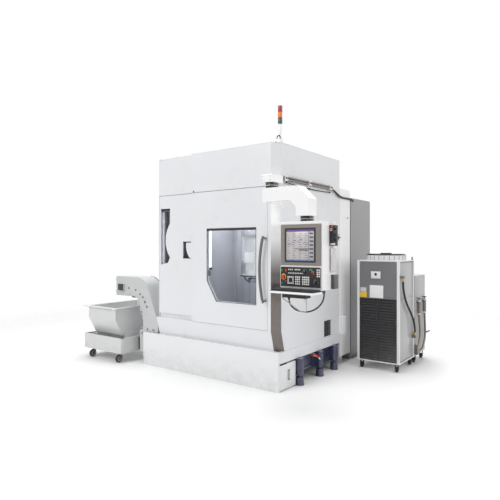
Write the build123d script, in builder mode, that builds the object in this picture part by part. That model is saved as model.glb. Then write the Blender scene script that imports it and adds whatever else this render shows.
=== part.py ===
from build123d import *
from math import cos, pi, radians, sin, tan
import os

# Bevel gear cutting machine with its pendant, chip conveyor, chip cart and oil chiller.
# Millimetres. Everything is set out from the floor corner under the front right of the
# machine: x to the right, y to the back, z up. The machine itself lies at negative x.

# Where that corner lies in the part's own frame, whose origin is under the middle of the part
corner_x = 1160
corner_y = -1121

# Enclosure
enclosure_left = -1870
enclosure_side = -15
enclosure_top = 2650
enclosure_back = 1476
sheet = 30
roof_sheet = 10
joint_x = -1251
left_setback = 45
seam_z = 2190
seam = 4
knee_z = 640
lean = 60
ledge = 12
chamfer_x = 80
chamfer_y = 80
post_width = 42
door_gap = 3
frame_sheet = 33

# Coolant tank and skirt
tank_left = -2122
tank_depth = 350
tank_top = 278
skirt_top = 420
skirt_sheet = 25
kick_height = 95
kick_recess = 6
gauge_height = 120
gauge_width = 34

# Cast base and levelling feet
base_left = -1850
base_right = -35
base_front = 375
base_bottom = 115
base_top = 296
base_wall = 45
base_floor = 55
foot_x = 20
foot_rows = (408, 873, 1249)
boss_radius = 44
foot_radius = 51
foot_top_radius = 43
foot_height = 90
stud_radius = 15
nut_radius = 24

# Side cover
rail_height = 118
rail_out = 15
vent_y = (1050, 1220)
vent_z = (430, 625)
louvre_count = 7
slat_end = 2
trim_z = 2198

# Main door: slides left in front of the left section
door_left = -1245
door_thick = 44.7
window_left = -1000
window_right = -292
window_top = 1750
window_bottom = 910
window_cut = 144
window_cut_z = 1144
glass = 8
glass_gap = 0.3
handle_x = -161
handle_bow = 45
handle_top = 1656
handle_bottom = 940
handle_out = 52
handle_radius = 11

# Left access door, hinged on its left edge
access_left = -1860
access_bottom = 693
access_window_left = -1835
access_window_right = -1668
access_window_top = 2025
access_window_bottom = 1310
access_window_wave = 78
pull_left = -1440
pull_right = -1300
pull_bottom = 1395
pull_top = 1605
pull_depth = 18

# Working chamber, cutter spindle, work head and gear
liner = 6
chamber_left = -1200
chamber_right = -200
chamber_back = 760
chamber_floor = 700
chamber_top = 2170
opening_left = -1150
opening_right = -240
opening_bottom = 770
opening_top = 2110
spindle_x = -600
spindle_y = 430
spindle_box = 260
spindle_bottom = 1200
spindle_box_height = 560
slide_plate = 40
cutter_radius = 95
cutter_height = 45
blade_count = 12
blade_height = 18
gear_tilt = 45
gear_teeth = 18
gear_radius = 62
gear_face = 34
gear_clear = 6
work_radius = 85
work_length = 190
pedestal_width = 260

# Rear housing and electrical cabinet
housing_left = -1300
housing_right = -10
housing_back = 1790
housing_bottom = 110
housing_top = 2300
cabinet_left = -1100
cabinet_right = -20
cabinet_front = 1830
cabinet_back = 2485
cabinet_bottom = 75
cabinet_top = 2205
cabinet_door_width = 700
cabinet_door_thick = 25
plinth_inset = 40

# Pendant arm and its bracket
pivot_x = -15
pivot_y = -100
bracket_bottom = 2205
bracket_height = 80
bracket_front = -190
bracket_right = 45
collar_radius = 62
pin_radius = 25
pin_depth = 55
fit = 0.08
running_gap = 0.3
arm_top = 2144.7
arm_height = 140
arm_depth = 150
arm_left = -88
arm_right = 467
arm_slope = 130
arm_neck_bottom = 1845

# Pendant
pendant_x = 390
pendant_y = -75
pendant_width = 462
pendant_front = -200
pendant_back = 85
pendant_bottom = 1127
pendant_top = 1790
pendant_round = 14
bezel_thick = 8
bezel_bottom = 1362
bezel_top = 1762
bezel_border = 6
screen_width = 346
screen_border = 26
glass_recess = 3
panel_bottom = 1150
panel_top = 1348
side_plate_y = (-50, 70)
side_plate_z = (1132, 1275)
shelf_front = -388
shelf_thick = 26
keyboard_thick = 14
keyboard_border = 12
under_box_width = 260
under_box_height = 48

# Buttons and knobs
stop_radius = 20
stop_height = 26
push_radius = 11
push_height = 9
push_travel = 4
knob_radius = 17
knob_height = 18
wheel_radius = 40
wheel_thick = 14
hand_unit_z = (1552, 1752)

# Signal lamp
lamp_x = -38
lamp_y = 95
lamp_radius = 25
lamp_bottom = 2855
lamp_height = 66
mast_radius = 15

# Conduit along the side
conduit_radius = 11
conduit_pitch = 28
conduit_z = 2262
conduit_end = 1200

# Chip conveyor
conveyor_front = 50
conveyor_back = 300
conveyor_sheet = 12
head_left = -2743
head_top = 1130
head_bottom = 866
neck_angle = 66
neck_right = -1896
boot_left = -2247
boot_bottom = 150
boot_top = 430
outer_bend = 230
inner_bend = 150
flange = 14
discharge_length = 250

# Chip cart
cart_left = -3124
cart_right = -2331
cart_front = -196
cart_back = 640
cart_bottom = 128
cart_top = 330
cart_sheet = 20
hopper_left = -3030
hopper_right = -2443
hopper_top = 722
hopper_shoulder = 560
hopper_bottom = 350
hopper_slope = 110
hopper_sheet = 10
rim = 28
rim_thick = 12
pour_lip = 60
caster_inset_x = 110
caster_inset_y = 85
wheel_r = 50
wheel_w = 32
trail = 32
fork_sheet = 6
fork_gap = 2
axle_r = 7

# Oil chiller and the coolant unit behind it
chiller_left = 212
chiller_right = 755
chiller_front = 1523
chiller_back = 2094
chiller_bottom = 100
chiller_top = 1370
post = 30
body_inset = 8
control_x = (392, 524)
control_z = (1140, 1236)
grille_top = 892
grille_slats = 22
grille_depth = 22
fan_ring_radius = 245
fan_ring_height = 62
fan_hub = 62
fan_blades = 5
blade_width = 92
blade_twist = 24
unit_left = 330
unit_front = 2150
unit_back = 2574
unit_bottom = 110
unit_top = 1155
small_wheel_r = 33
small_wheel_w = 26
hose_radius = 13
duct_right = 695
valve_y = (2225, 2470)
valve_bottom = 640
valve_top = 830
valve_radius = 20
lever_y_top = 2498
lever_z_top = 372
lever_tip = 2630
hose_x = 783
fitting = 36


def front_plane(y):
    """Upright plane at y that faces the front; an extrusion from it comes forward"""
    return Plane.XZ.offset(-y)


def side_plane(x):
    """Upright plane at x that faces right; an extrusion from it goes right"""
    return Plane.YZ.offset(x)


def level(z):
    """Horizontal plane at height z"""
    return Plane.XY.offset(z)


def block(x, y, z, mode=Mode.ADD):
    """Block between two limits along each axis, in the part being built"""
    with Locations(((x[0] + x[1]) / 2, (y[0] + y[1]) / 2, (z[0] + z[1]) / 2)):
        Box(x[1] - x[0], y[1] - y[0], z[1] - z[0], mode=mode)


def post_between(x, y, z0, z1, radius, mode=Mode.ADD):
    """Upright cylinder at (x, y) from z0 to z1, in the part being built"""
    with Locations((x, y, (z0 + z1) / 2)):
        Cylinder(radius, z1 - z0, mode=mode)


def rod_y(x, z, y0, y1, radius, mode=Mode.ADD):
    """Level cylinder along y, in the part being built"""
    with Locations((x, (y0 + y1) / 2, z)):
        Cylinder(radius, y1 - y0, rotation=(90, 0, 0), mode=mode)


def rod_x(y, z, x0, x1, radius, mode=Mode.ADD):
    """Level cylinder along x, in the part being built"""
    with Locations(((x0 + x1) / 2, y, z)):
        Cylinder(radius, x1 - x0, rotation=(0, 90, 0), mode=mode)


def save(piece, name):
    """Move a finished piece from the machine's corner to the part's frame and write it"""
    part = piece.moved(Location((corner_x, corner_y, 0)))
    part.label = name
    export_step(part, f"parts/{name}.step")


os.makedirs("parts", exist_ok=True)

# Derived places shared by several pieces
chamfer_left = enclosure_side - chamfer_x
post_left = chamfer_left - post_width
frame_front = left_setback
frame_back = left_setback + frame_sheet
liner_front = frame_back
door_bottom = knee_z + door_gap
door_top = seam_z - door_gap
fascia_bottom = seam_z + seam
door_right = post_left - door_gap


# Cast base: one heavy casting, cored from below, with a boss over each levelling foot
foot_places = [(x, y) for x in (foot_x, base_left + base_right - foot_x) for y in foot_rows]
with BuildPart() as cast_base:
    with BuildSketch(level(base_bottom)):
        with Locations(((base_left + base_right) / 2, (base_front + enclosure_back) / 2)):
            Rectangle(base_right - base_left, enclosure_back - base_front)
        with Locations(*foot_places):
            Circle(boss_radius)
        for x, y in foot_places:
            inward = -1 if x > base_right else 1
            with Locations((x + inward * boss_radius, y)):
                Rectangle(2 * boss_radius, 2 * boss_radius)
    extrude(amount=base_top - base_bottom)
    rows = 3
    columns = 5
    cell_x = (base_right - base_left - (columns + 1) * base_wall) / columns
    cell_y = (enclosure_back - base_front - (rows + 1) * base_wall) / rows
    with BuildSketch(level(base_bottom)):
        with Locations(((base_left + base_right) / 2, (base_front + enclosure_back) / 2)):
            with GridLocations(cell_x + base_wall, cell_y + base_wall, columns, rows):
                RectangleRounded(cell_x, cell_y, 30)
    extrude(amount=base_top - base_bottom - base_floor, mode=Mode.SUBTRACT)
    for front, back in zip(foot_rows[:-1], foot_rows[1:]):
        span = back - front - 2 * boss_radius - 60
        with BuildSketch(side_plane(base_right - 14)):
            with Locations(((front + back) / 2, (base_bottom + base_top) / 2)):
                RectangleRounded(span, base_top - base_bottom - 60, 20)
        extrude(amount=20, mode=Mode.SUBTRACT)
save(cast_base.part, "cast_base")


# Levelling feet: upturned cups with a stud and lock nut under each boss
with BuildPart() as levelling_feet:
    for x, y in foot_places:
        with BuildSketch(front_plane(y)):
            with BuildLine():
                Polyline((x, 0), (x + foot_radius, 0), (x + foot_radius, 10),
                         (x + foot_top_radius, foot_height - 6),
                         (x + foot_top_radius - 6, foot_height),
                         (x + stud_radius, foot_height), (x + stud_radius, base_bottom),
                         (x, base_bottom), close=True)
            make_face()
        revolve(axis=Axis((x, y, 0), (0, 0, 1)))
        with BuildSketch(level(base_bottom - 16)):
            with Locations((x, y)):
                RegularPolygon(nut_radius, 6)
        extrude(amount=16)
save(levelling_feet.part, "levelling_feet")


# Coolant tank: low tank behind a front skirt plate, with a level gauge on its end
gauge_y = 198
with BuildPart() as coolant_tank:
    block((tank_left, 0), (0, skirt_sheet), (0, skirt_top))
    block((tank_left, 0), (0, kick_recess), (0, kick_height), mode=Mode.SUBTRACT)
    block((neck_right, 0), (skirt_sheet, tank_depth), (12, tank_top))
    block((0, 10), (gauge_y - gauge_width / 2, gauge_y + gauge_width / 2),
          (96, 96 + gauge_height))
save(coolant_tank.part, "coolant_tank")


# Front cover: fascia, door frame with its opening, corner post and the apron that leans back
with BuildPart() as front_cover:
    block((joint_x, post_left), (0, frame_back), (fascia_bottom, enclosure_top))
    block((joint_x, post_left), (frame_front, frame_back), (knee_z, fascia_bottom))
    block((opening_left, opening_right), (0, frame_back + 1), (opening_bottom, opening_top),
          mode=Mode.SUBTRACT)
    corner_top = ((post_left, 0), (chamfer_left, 0), (enclosure_side, chamfer_y),
                  (enclosure_side, chamfer_y + sheet), (post_left, frame_back))
    corner_low = tuple((x, y + lean) for x, y in corner_top)
    with BuildSketch(level(knee_z)):
        with BuildLine():
            Polyline(*corner_top, close=True)
        make_face()
    extrude(amount=enclosure_top - knee_z)
    with BuildSketch(level(knee_z)):
        with BuildLine():
            Polyline(*corner_top, close=True)
        make_face()
    with BuildSketch(level(skirt_top)):
        with BuildLine():
            Polyline(*corner_low, close=True)
        make_face()
    loft(ruled=True)
    with BuildSketch(side_plane(enclosure_left)):
        with BuildLine():
            Polyline((0, knee_z), (lean, skirt_top), (lean + sheet, skirt_top),
                     (sheet, knee_z), close=True)
        make_face()
    extrude(amount=post_left - enclosure_left)
    block((enclosure_left, post_left), (sheet - 10, frame_back), (knee_z - ledge, knee_z))
    block((enclosure_left, enclosure_side - sheet), (skirt_sheet, lean + 5),
          (skirt_top - ledge, skirt_top))
save(front_cover.part, "front_cover")


# Corner strip: bright steel sheet on the chamfered corner, bent at the knee
strip_sheet = 2
strip_top = 2030
with BuildPart() as corner_strip:
    strip_upper = ((chamfer_left, 0), (enclosure_side, chamfer_y),
                   (enclosure_side, chamfer_y - 1.5 * strip_sheet),
                   (chamfer_left + 1.5 * strip_sheet, 0))
    strip_lower = tuple((x, y + lean) for x, y in strip_upper)
    with BuildSketch(level(knee_z)):
        with BuildLine():
            Polyline(*strip_upper, close=True)
        make_face()
    extrude(amount=strip_top - knee_z)
    with BuildSketch(level(knee_z)):
        with BuildLine():
            Polyline(*strip_upper, close=True)
        make_face()
    with BuildSketch(level(skirt_top)):
        with BuildLine():
            Polyline(*strip_lower, close=True)
        make_face()
    loft(ruled=True)
save(corner_strip.part, "corner_strip")


# Left cover: set back so that the main door can pass in front of it
with BuildPart() as left_cover:
    block((enclosure_left, joint_x), (frame_back, frame_back + sheet), (knee_z, enclosure_top))
    block((access_left + 60, joint_x - 60), (frame_back, frame_back + sheet),
          (access_bottom + 60, door_top - 60), mode=Mode.SUBTRACT)
    block((enclosure_left, access_left - door_gap), (left_setback, frame_back),
          (knee_z, enclosure_top))
    block((enclosure_left, joint_x), (left_setback, frame_back), (fascia_bottom, enclosure_top))
    block((enclosure_left, joint_x), (left_setback + 18, frame_back),
          (knee_z, access_bottom - door_gap))
save(left_cover.part, "left_cover")


# Side cover: right-hand wall on a low rail, with a louvred vent and a trim strip
with BuildPart() as side_cover:
    wall_front = chamfer_y + sheet
    rail_bottom = skirt_top - seam - rail_height
    rail_top = skirt_top - seam
    with BuildSketch(side_plane(enclosure_side - sheet)):
        with BuildLine():
            Polyline((wall_front, enclosure_top), (wall_front, knee_z),
                     (wall_front + lean + 2, rail_top), (enclosure_back, rail_top),
                     (enclosure_back, enclosure_top), close=True)
        make_face()
    extrude(amount=sheet)
    block((enclosure_side - sheet, enclosure_side + rail_out), (skirt_sheet, enclosure_back),
          (rail_bottom, rail_top))
    block((enclosure_side - sheet, enclosure_side), vent_y, vent_z, mode=Mode.SUBTRACT)
    louvre_pitch = (vent_z[1] - vent_z[0]) / louvre_count
    for i in range(louvre_count):
        with BuildSketch(front_plane(vent_y[1] + slat_end)):
            low = vent_z[0] + i * louvre_pitch - 1
            with BuildLine():
                Polyline((enclosure_side - sheet + 4, low + louvre_pitch - 4),
                         (enclosure_side - sheet + 4, low + louvre_pitch),
                         (enclosure_side - 2, low + 6), (enclosure_side - 2, low + 2), close=True)
            make_face()
        extrude(amount=vent_y[1] - vent_y[0] + 2 * slat_end)
    block((enclosure_side, enclosure_side + 8), (wall_front, enclosure_back),
          (trim_z, trim_z + 14))
save(side_cover.part, "side_cover")


# Canopy: left wall, rear wall and roof as one welded shell
with BuildPart() as canopy:
    block((enclosure_left, enclosure_left + sheet), (frame_back + sheet, enclosure_back),
          (base_top, enclosure_top))
    block((enclosure_left, enclosure_side - sheet), (enclosure_back - sheet, enclosure_back),
          (base_top, enclosure_top))
    with BuildSketch(level(enclosure_top)):
        with BuildLine():
            Polyline((enclosure_left, left_setback), (joint_x, left_setback), (joint_x, 0),
                     (chamfer_left, 0), (enclosure_side, chamfer_y),
                     (enclosure_side, enclosure_back), (enclosure_left, enclosure_back),
                     close=True)
        make_face()
    extrude(amount=roof_sheet)
save(canopy.part, "canopy")


# Main door with its window cut-out
def window_outline(grow):
    """Corners of the main window, grown outwards by a margin"""
    left = window_left - grow
    return ((left, window_top + grow), (window_right + grow, window_top + grow),
            (window_right + grow, window_bottom - grow),
            (window_left + window_cut - grow * 0.5, window_bottom - grow),
            (left, window_cut_z - grow * 0.5))


with BuildPart() as main_door:
    block((door_left, door_right), (0, door_thick), (door_bottom, door_top))
    with BuildSketch(front_plane(door_thick)):
        with BuildLine():
            Polyline(*window_outline(0), close=True)
        make_face()
    extrude(amount=door_thick, mode=Mode.SUBTRACT)
save(main_door.part, "main_door")

with BuildPart() as main_window:
    with BuildSketch(front_plane(door_thick / 2)):
        with BuildLine():
            Polyline(*window_outline(-glass_gap), close=True)
        make_face()
    extrude(amount=glass)
save(main_window.part, "main_window")


# Main door handle: a bowed round bar on two standoffs
with BuildPart() as main_handle:
    handle_mid = (handle_top + handle_bottom) / 2
    with BuildLine():
        ThreePointArc((handle_x, -handle_out, handle_top),
                      (handle_x - handle_bow, -handle_out, handle_mid),
                      (handle_x, -handle_out, handle_bottom))
    with BuildSketch(Plane(origin=(handle_x, -handle_out, handle_top),
                           z_dir=(-sin(radians(14.3)), 0, -cos(radians(14.3))))):
        Circle(handle_radius)
    sweep()
    for z in (handle_top - 20, handle_bottom + 20):
        rod_y(handle_x - 5, z, -handle_out, 0, handle_radius * 0.8)
save(main_handle.part, "main_handle")


# Left access door: wavy window, raised pull pocket
with BuildPart() as access_door:
    access_right = joint_x - door_gap
    access_back = frame_back - running_gap
    block((access_left, access_right), (left_setback, access_back), (access_bottom, door_top))
    wave_top = access_window_top - 190
    wave_low = access_window_bottom + 95
    wave_mid = (wave_top + wave_low) / 2
    with BuildSketch(front_plane(access_back)):
        with BuildLine():
            Line((access_window_left, access_window_bottom), (access_window_left, access_window_top))
            Line((access_window_left, access_window_top), (access_window_right, access_window_top))
            Line((access_window_right, access_window_top), (access_window_right, wave_top))
            ThreePointArc((access_window_right, wave_top),
                          (access_window_right - access_window_wave, wave_mid),
                          (access_window_right, wave_low))
            Polyline((access_window_right, wave_low),
                     (access_window_right - 35, access_window_bottom + 28),
                     (access_window_left, access_window_bottom))
        make_face()
    extrude(amount=access_back - left_setback, mode=Mode.SUBTRACT)
    with BuildSketch(front_plane(left_setback + pull_depth)):
        with Locations(((pull_left + pull_right) / 2, (pull_bottom + pull_top) / 2)):
            RectangleRounded(pull_right - pull_left, pull_top - pull_bottom, 12)
    extrude(amount=pull_depth, mode=Mode.SUBTRACT)
    with BuildSketch(front_plane(left_setback + pull_depth)):
        with BuildLine():
            Line((pull_right, pull_top), (pull_left + 55, pull_top))
            ThreePointArc((pull_left + 55, pull_top), (pull_left + 62, pull_bottom + 90),
                          (pull_right - 20, pull_bottom))
            Line((pull_right - 20, pull_bottom), (pull_right, pull_bottom))
            Line((pull_right, pull_bottom), (pull_right, pull_top))
        make_face()
    extrude(amount=pull_depth - 4)
save(access_door.part, "access_door")

with BuildPart() as access_window:
    with BuildSketch(front_plane(left_setback + 20)):
        with BuildLine():
            left = access_window_left + glass_gap
            right = access_window_right - glass_gap
            top = access_window_top - glass_gap
            bottom = access_window_bottom + glass_gap
            Line((left, bottom), (left, top))
            Line((left, top), (right, top))
            Line((right, top), (right, wave_top))
            ThreePointArc((right, wave_top), (right - access_window_wave, wave_mid),
                          (right, wave_low))
            Polyline((right, wave_low), (right - 35, bottom + 28), (left, bottom))
        make_face()
    extrude(amount=glass)
save(access_window.part, "access_window")


# Chamber liner: folded sheet box behind the door frame, open to the front
with BuildPart() as chamber_liner:
    block((chamber_left, chamber_right), (liner_front, chamber_back),
          (chamber_floor, chamber_top))
    block((chamber_left + liner, chamber_right - liner), (liner_front, chamber_back - liner),
          (chamber_floor + liner, chamber_top - liner), mode=Mode.SUBTRACT)
save(chamber_liner.part, "chamber_liner")

# Cutter slide: guide plate on the rear liner wall and the box that carries the spindle
with BuildPart() as spindle_slide:
    half = spindle_box / 2
    slide_back = chamber_back - liner - running_gap
    block((spindle_x - half, spindle_x + half), (spindle_y - half, slide_back - slide_plate),
          (spindle_bottom, spindle_bottom + spindle_box_height))
    fillet(spindle_slide.edges().filter_by(Axis.Z).group_by(Axis.Y)[0], radius=24)
    block((spindle_x - half - 30, spindle_x + half + 30), (slide_back - slide_plate, slide_back),
          (spindle_bottom - 60, spindle_bottom + spindle_box_height + 40))
    post_between(spindle_x, spindle_y, spindle_bottom - 24, spindle_bottom, cutter_radius * 0.8)
save(spindle_slide.part, "spindle_slide")

# Face cutter: turned body with a ring of stick blades, facing down
cutter_top = spindle_bottom - 24 - running_gap
cutter_bottom = cutter_top - cutter_height
blade_tip = cutter_bottom - blade_height
with BuildPart() as cutter_head:
    with BuildSketch(Plane.XZ.offset(-spindle_y)):
        with BuildLine():
            Polyline((spindle_x, cutter_top), (spindle_x + cutter_radius * 0.7, cutter_top),
                     (spindle_x + cutter_radius, cutter_top - 12),
                     (spindle_x + cutter_radius, cutter_bottom),
                     (spindle_x + cutter_radius * 0.45, cutter_bottom),
                     (spindle_x + cutter_radius * 0.38, cutter_bottom + 12),
                     (spindle_x, cutter_bottom + 12), close=True)
        make_face()
    revolve(axis=Axis((spindle_x, spindle_y, 0), (0, 0, 1)))
    with BuildSketch(level(cutter_bottom)):
        with Locations((spindle_x, spindle_y)):
            with PolarLocations(cutter_radius * 0.82, blade_count):
                Rectangle(20, 9, rotation=25)
    extrude(amount=-blade_height, taper=12)
save(cutter_head.part, "cutter_head")

# Work head: inclined spindle housing on a pedestal; its axis lies in the xz plane
tilt = radians(gear_tilt)
axis_dir = (-sin(tilt), 0, cos(tilt))
contact_x = spindle_x + cutter_radius * 0.82
gear_mid_z = blade_tip - gear_clear - gear_radius * 0.82 * cos(tilt)
gear_mid_x = contact_x + gear_radius * 0.82 * sin(tilt)
gear_plane = Plane(origin=(gear_mid_x, spindle_y, gear_mid_z), x_dir=(0, 1, 0), z_dir=axis_dir)
gear_back = gear_plane.offset(-gear_face / 2)
with BuildPart() as work_head:
    with BuildSketch(gear_back.offset(-30)):
        Circle(work_radius)
    extrude(amount=-work_length)
    with BuildSketch(gear_back.offset(-running_gap)):
        Circle(work_radius * 0.6)
    extrude(amount=-30)
    head_centre = gear_back.offset(-30 - work_length * 0.55).origin
    block((head_centre.X - pedestal_width / 2, head_centre.X + pedestal_width / 2),
          (spindle_y - pedestal_width / 2, spindle_y + pedestal_width / 2),
          (chamber_floor + liner, head_centre.Z - 40))
save(work_head.part, "work_head")


# Bevel gear blank being cut: ring of straight tapered teeth on a hub
def tooth_ring(root, tip):
    """Corner points of a ring of trapezoidal teeth"""
    points = []
    for i in range(gear_teeth):
        middle = i * 360 / gear_teeth
        for angle, radius in ((-7, root), (-3.4, tip), (3.4, tip), (7, root)):
            turn = radians(middle + angle)
            points.append((radius * cos(turn), radius * sin(turn)))
    return points


small_scale = (gear_radius - gear_face) / gear_radius
with BuildPart() as bevel_gear:
    with BuildSketch(gear_back.offset(running_gap)):
        with BuildLine():
            Polyline(*tooth_ring(gear_radius * 0.88, gear_radius), close=True)
        make_face()
    with BuildSketch(gear_back.offset(gear_face)):
        with BuildLine():
            Polyline(*tooth_ring(gear_radius * small_scale * 0.88, gear_radius * small_scale),
                     close=True)
        make_face()
    loft(ruled=True)
    with BuildSketch(gear_back.offset(gear_face)):
        Circle(gear_radius * small_scale * 0.6)
    extrude(amount=10)
save(bevel_gear.part, "bevel_gear")


# Rear housing, with the junction box on its side
with BuildPart() as rear_housing:
    block((housing_left, housing_right), (enclosure_back, housing_back),
          (housing_bottom, housing_top))
    fillet(rear_housing.edges().filter_by(Axis.Z).group_by(Axis.X)[-1], radius=8)
    block((housing_right, housing_right + 40), (enclosure_back + 6, enclosure_back + 120),
          (400, 630))
    for x in (housing_left + 60, housing_right - 120):
        post_between(x, housing_back - 80, 0, housing_bottom, 35)
save(rear_housing.part, "rear_housing")

# Electrical cabinet: hollow, open to the rear behind its door
with BuildPart() as cabinet:
    block((cabinet_left, cabinet_right), (cabinet_front, cabinet_back),
          (cabinet_bottom, cabinet_top))
    block((cabinet_right - cabinet_door_width + 30, cabinet_right - 50),
          (cabinet_front + 40, cabinet_back), (cabinet_bottom + 60, cabinet_top - 60),
          mode=Mode.SUBTRACT)
    block((cabinet_left + plinth_inset, cabinet_right - plinth_inset),
          (cabinet_front + plinth_inset, cabinet_back - plinth_inset), (0, cabinet_bottom))
    block((cabinet_left + 200, cabinet_right - 200), (housing_back, cabinet_front),
          (cabinet_top - 700, cabinet_top - 400))
save(cabinet.part, "cabinet")

with BuildPart() as cabinet_door:
    door_front_y = cabinet_back + running_gap
    block((cabinet_right - cabinet_door_width, cabinet_right - 4),
          (door_front_y, door_front_y + cabinet_door_thick),
          (cabinet_bottom + 20, cabinet_top - 20))
    fillet(cabinet_door.faces().sort_by(Axis.Y)[-1].edges(), radius=6)
    block((cabinet_right - 110, cabinet_right - 80),
          (door_front_y + cabinet_door_thick, door_front_y + cabinet_door_thick + 24),
          (1050, 1200))
save(cabinet_door.part, "cabinet_door")


# Arm bracket: wraps the chamfered corner and holds the arm's pivot pin
with BuildPart() as arm_bracket:
    with BuildSketch(level(bracket_bottom)):
        with BuildLine():
            Polyline((arm_left, bracket_front), (bracket_right, bracket_front),
                     (bracket_right, 20), (enclosure_side, chamfer_y),
                     (chamfer_left, 0), (arm_left, -10), close=True)
        make_face()
    extrude(amount=bracket_height)
    fillet(arm_bracket.faces().sort_by(Axis.Z)[-1].edges().filter_by(Axis.X), radius=10)
    post_between(pivot_x, pivot_y, arm_top + running_gap, bracket_bottom, collar_radius)
    post_between(pivot_x, pivot_y, arm_top - pin_depth, arm_top + running_gap, pin_radius)
save(arm_bracket.part, "arm_bracket")

# Swing arm: box section with a swan neck down to the pendant
with BuildPart() as swing_arm:
    arm_bottom = arm_top - arm_height
    neck_left = arm_right - arm_depth
    with BuildSketch(front_plane(pivot_y + arm_depth / 2)):
        with BuildLine():
            Polyline((arm_left, arm_top), (arm_right - arm_slope, arm_top),
                     (arm_right, arm_top - arm_slope), (arm_right, arm_neck_bottom),
                     (neck_left, arm_neck_bottom), (neck_left, arm_bottom - 68),
                     (neck_left - 62, arm_bottom), (arm_left, arm_bottom), close=True)
        make_face()
    extrude(amount=arm_depth)
    fillet(swing_arm.faces().sort_by(Axis.X)[0].edges().filter_by(Axis.Z), radius=18)
    post_between(pivot_x, pivot_y, arm_top - pin_depth - 1, arm_top, pin_radius + fit,
                 mode=Mode.SUBTRACT)
    post_between(pendant_x, pendant_y, pendant_top + running_gap, arm_neck_bottom, collar_radius)
    post_between(pendant_x, pendant_y, pendant_top - pin_depth, pendant_top + running_gap,
                 pin_radius)
save(swing_arm.part, "swing_arm")


# Pendant housing: folded box with rounded corners, socket for the arm's pin, side cover plate
pendant_left = pendant_x - pendant_width / 2
pendant_right = pendant_x + pendant_width / 2
with BuildPart() as pendant_housing:
    block((pendant_left, pendant_right), (pendant_front, pendant_back),
          (pendant_bottom, pendant_top))
    fillet(pendant_housing.edges().filter_by(Axis.Z), radius=pendant_round)
    post_between(pendant_x, pendant_y, pendant_top - pin_depth - 1, pendant_top,
                 pin_radius + fit, mode=Mode.SUBTRACT)
    block((pendant_right, pendant_right + 12), side_plate_y, side_plate_z)
save(pendant_housing.part, "pendant_housing")

# Screen bezel and the screen set into it
screen_left = pendant_x - 5 - screen_width / 2
screen_right = pendant_x - 5 + screen_width / 2
screen_bottom = bezel_bottom + 30
screen_top = bezel_top - 38
with BuildPart() as screen_bezel:
    block((pendant_left + bezel_border, pendant_right - bezel_border),
          (pendant_front - bezel_thick, pendant_front), (bezel_bottom, bezel_top))
    chamfer(screen_bezel.faces().sort_by(Axis.Y)[0].edges(), length=3)
    block((screen_left, screen_right), (pendant_front - bezel_thick, pendant_front),
          (screen_bottom, screen_top), mode=Mode.SUBTRACT)
save(screen_bezel.part, "screen_bezel")

with BuildPart() as screen:
    block((screen_left + glass_gap, screen_right - glass_gap),
          (pendant_front - bezel_thick + 1, pendant_front),
          (screen_bottom + glass_gap, screen_top - glass_gap))
    block((screen_left + screen_border, screen_right - screen_border),
          (pendant_front - bezel_thick, pendant_front - bezel_thick + glass_recess),
          (screen_bottom + screen_border, screen_top - screen_border), mode=Mode.SUBTRACT)
save(screen.part, "screen")

# Button panel with key groups, rings and holes for the moving controls
panel_front = pendant_front - 6
stop_x, stop_z = pendant_left + 42, panel_bottom + 98
start_x, halt_x, push_z = pendant_left + 26, pendant_left + 72, panel_bottom + 160
mode_x, mode_z = pendant_right - 62, panel_bottom + 58
feed_x, feed_z = pendant_x + 52, panel_bottom + 150
with BuildPart() as button_panel:
    block((pendant_left + 5, pendant_right - 5), (panel_front, pendant_front),
          (panel_bottom, panel_top))
    with BuildSketch(front_plane(panel_front)):
        with Locations((pendant_x - 78, panel_bottom + 60), (pendant_x + 5, panel_bottom + 60),
                       (pendant_x + 92, panel_bottom + 60)):
            with GridLocations(26, 26, 3, 3):
                Rectangle(19, 19)
        with Locations((pendant_x - 78, panel_bottom + 150), (pendant_x - 20, panel_bottom + 150)):
            with GridLocations(26, 26, 2, 2):
                Rectangle(18, 16)
    extrude(amount=4)
    with BuildSketch(front_plane(panel_front)):
        with Locations((stop_x, stop_z)):
            Circle(stop_radius + 8)
        with Locations((mode_x, mode_z)):
            Circle(knob_radius + 7)
    extrude(amount=1)
    for x, z, radius in ((stop_x, stop_z, 9), (mode_x, mode_z, 7), (feed_x, feed_z, 7),
                         (start_x, push_z, 8), (halt_x, push_z, 8)):
        rod_y(x, z, panel_front - 2, pendant_front, radius, mode=Mode.SUBTRACT)
save(button_panel.part, "button_panel")

# Keyboard shelf with its keyboard and the box under it
with BuildPart() as keyboard_shelf:
    shelf_top = pendant_bottom - running_gap
    block((pendant_left - 6, pendant_right + 4), (shelf_front, pendant_front + 60),
          (shelf_top - shelf_thick, shelf_top - 4))
    block((pendant_left, pendant_right), (pendant_front, pendant_front + 60),
          (shelf_top - 4, pendant_bottom))
    block((pendant_left + keyboard_border, pendant_right - keyboard_border),
          (shelf_front + keyboard_border, pendant_front - keyboard_border),
          (shelf_top - 4, shelf_top - 4 + keyboard_thick))
    block((pendant_left + 80, pendant_left + 80 + under_box_width), (shelf_front + 90, pendant_front),
          (shelf_top - shelf_thick - under_box_height, shelf_top - shelf_thick))
save(keyboard_shelf.part, "keyboard_shelf")


# Emergency stop: mushroom head that travels in; green and red push buttons; two rotary knobs
with BuildPart() as emergency_stop:
    stop_seat = panel_front - 1 - 6 - running_gap
    with BuildSketch(Plane(origin=(stop_x, stop_seat, stop_z), z_dir=(0, -1, 0))):
        Circle(stop_radius)
    extrude(amount=stop_height - 10, taper=-4)
    fillet(emergency_stop.faces().sort_by(Axis.Y)[0].edges(), radius=5)
    rod_y(stop_x, stop_z, stop_seat, pendant_front - 7, 8.7)
save(emergency_stop.part, "emergency_stop")


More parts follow.
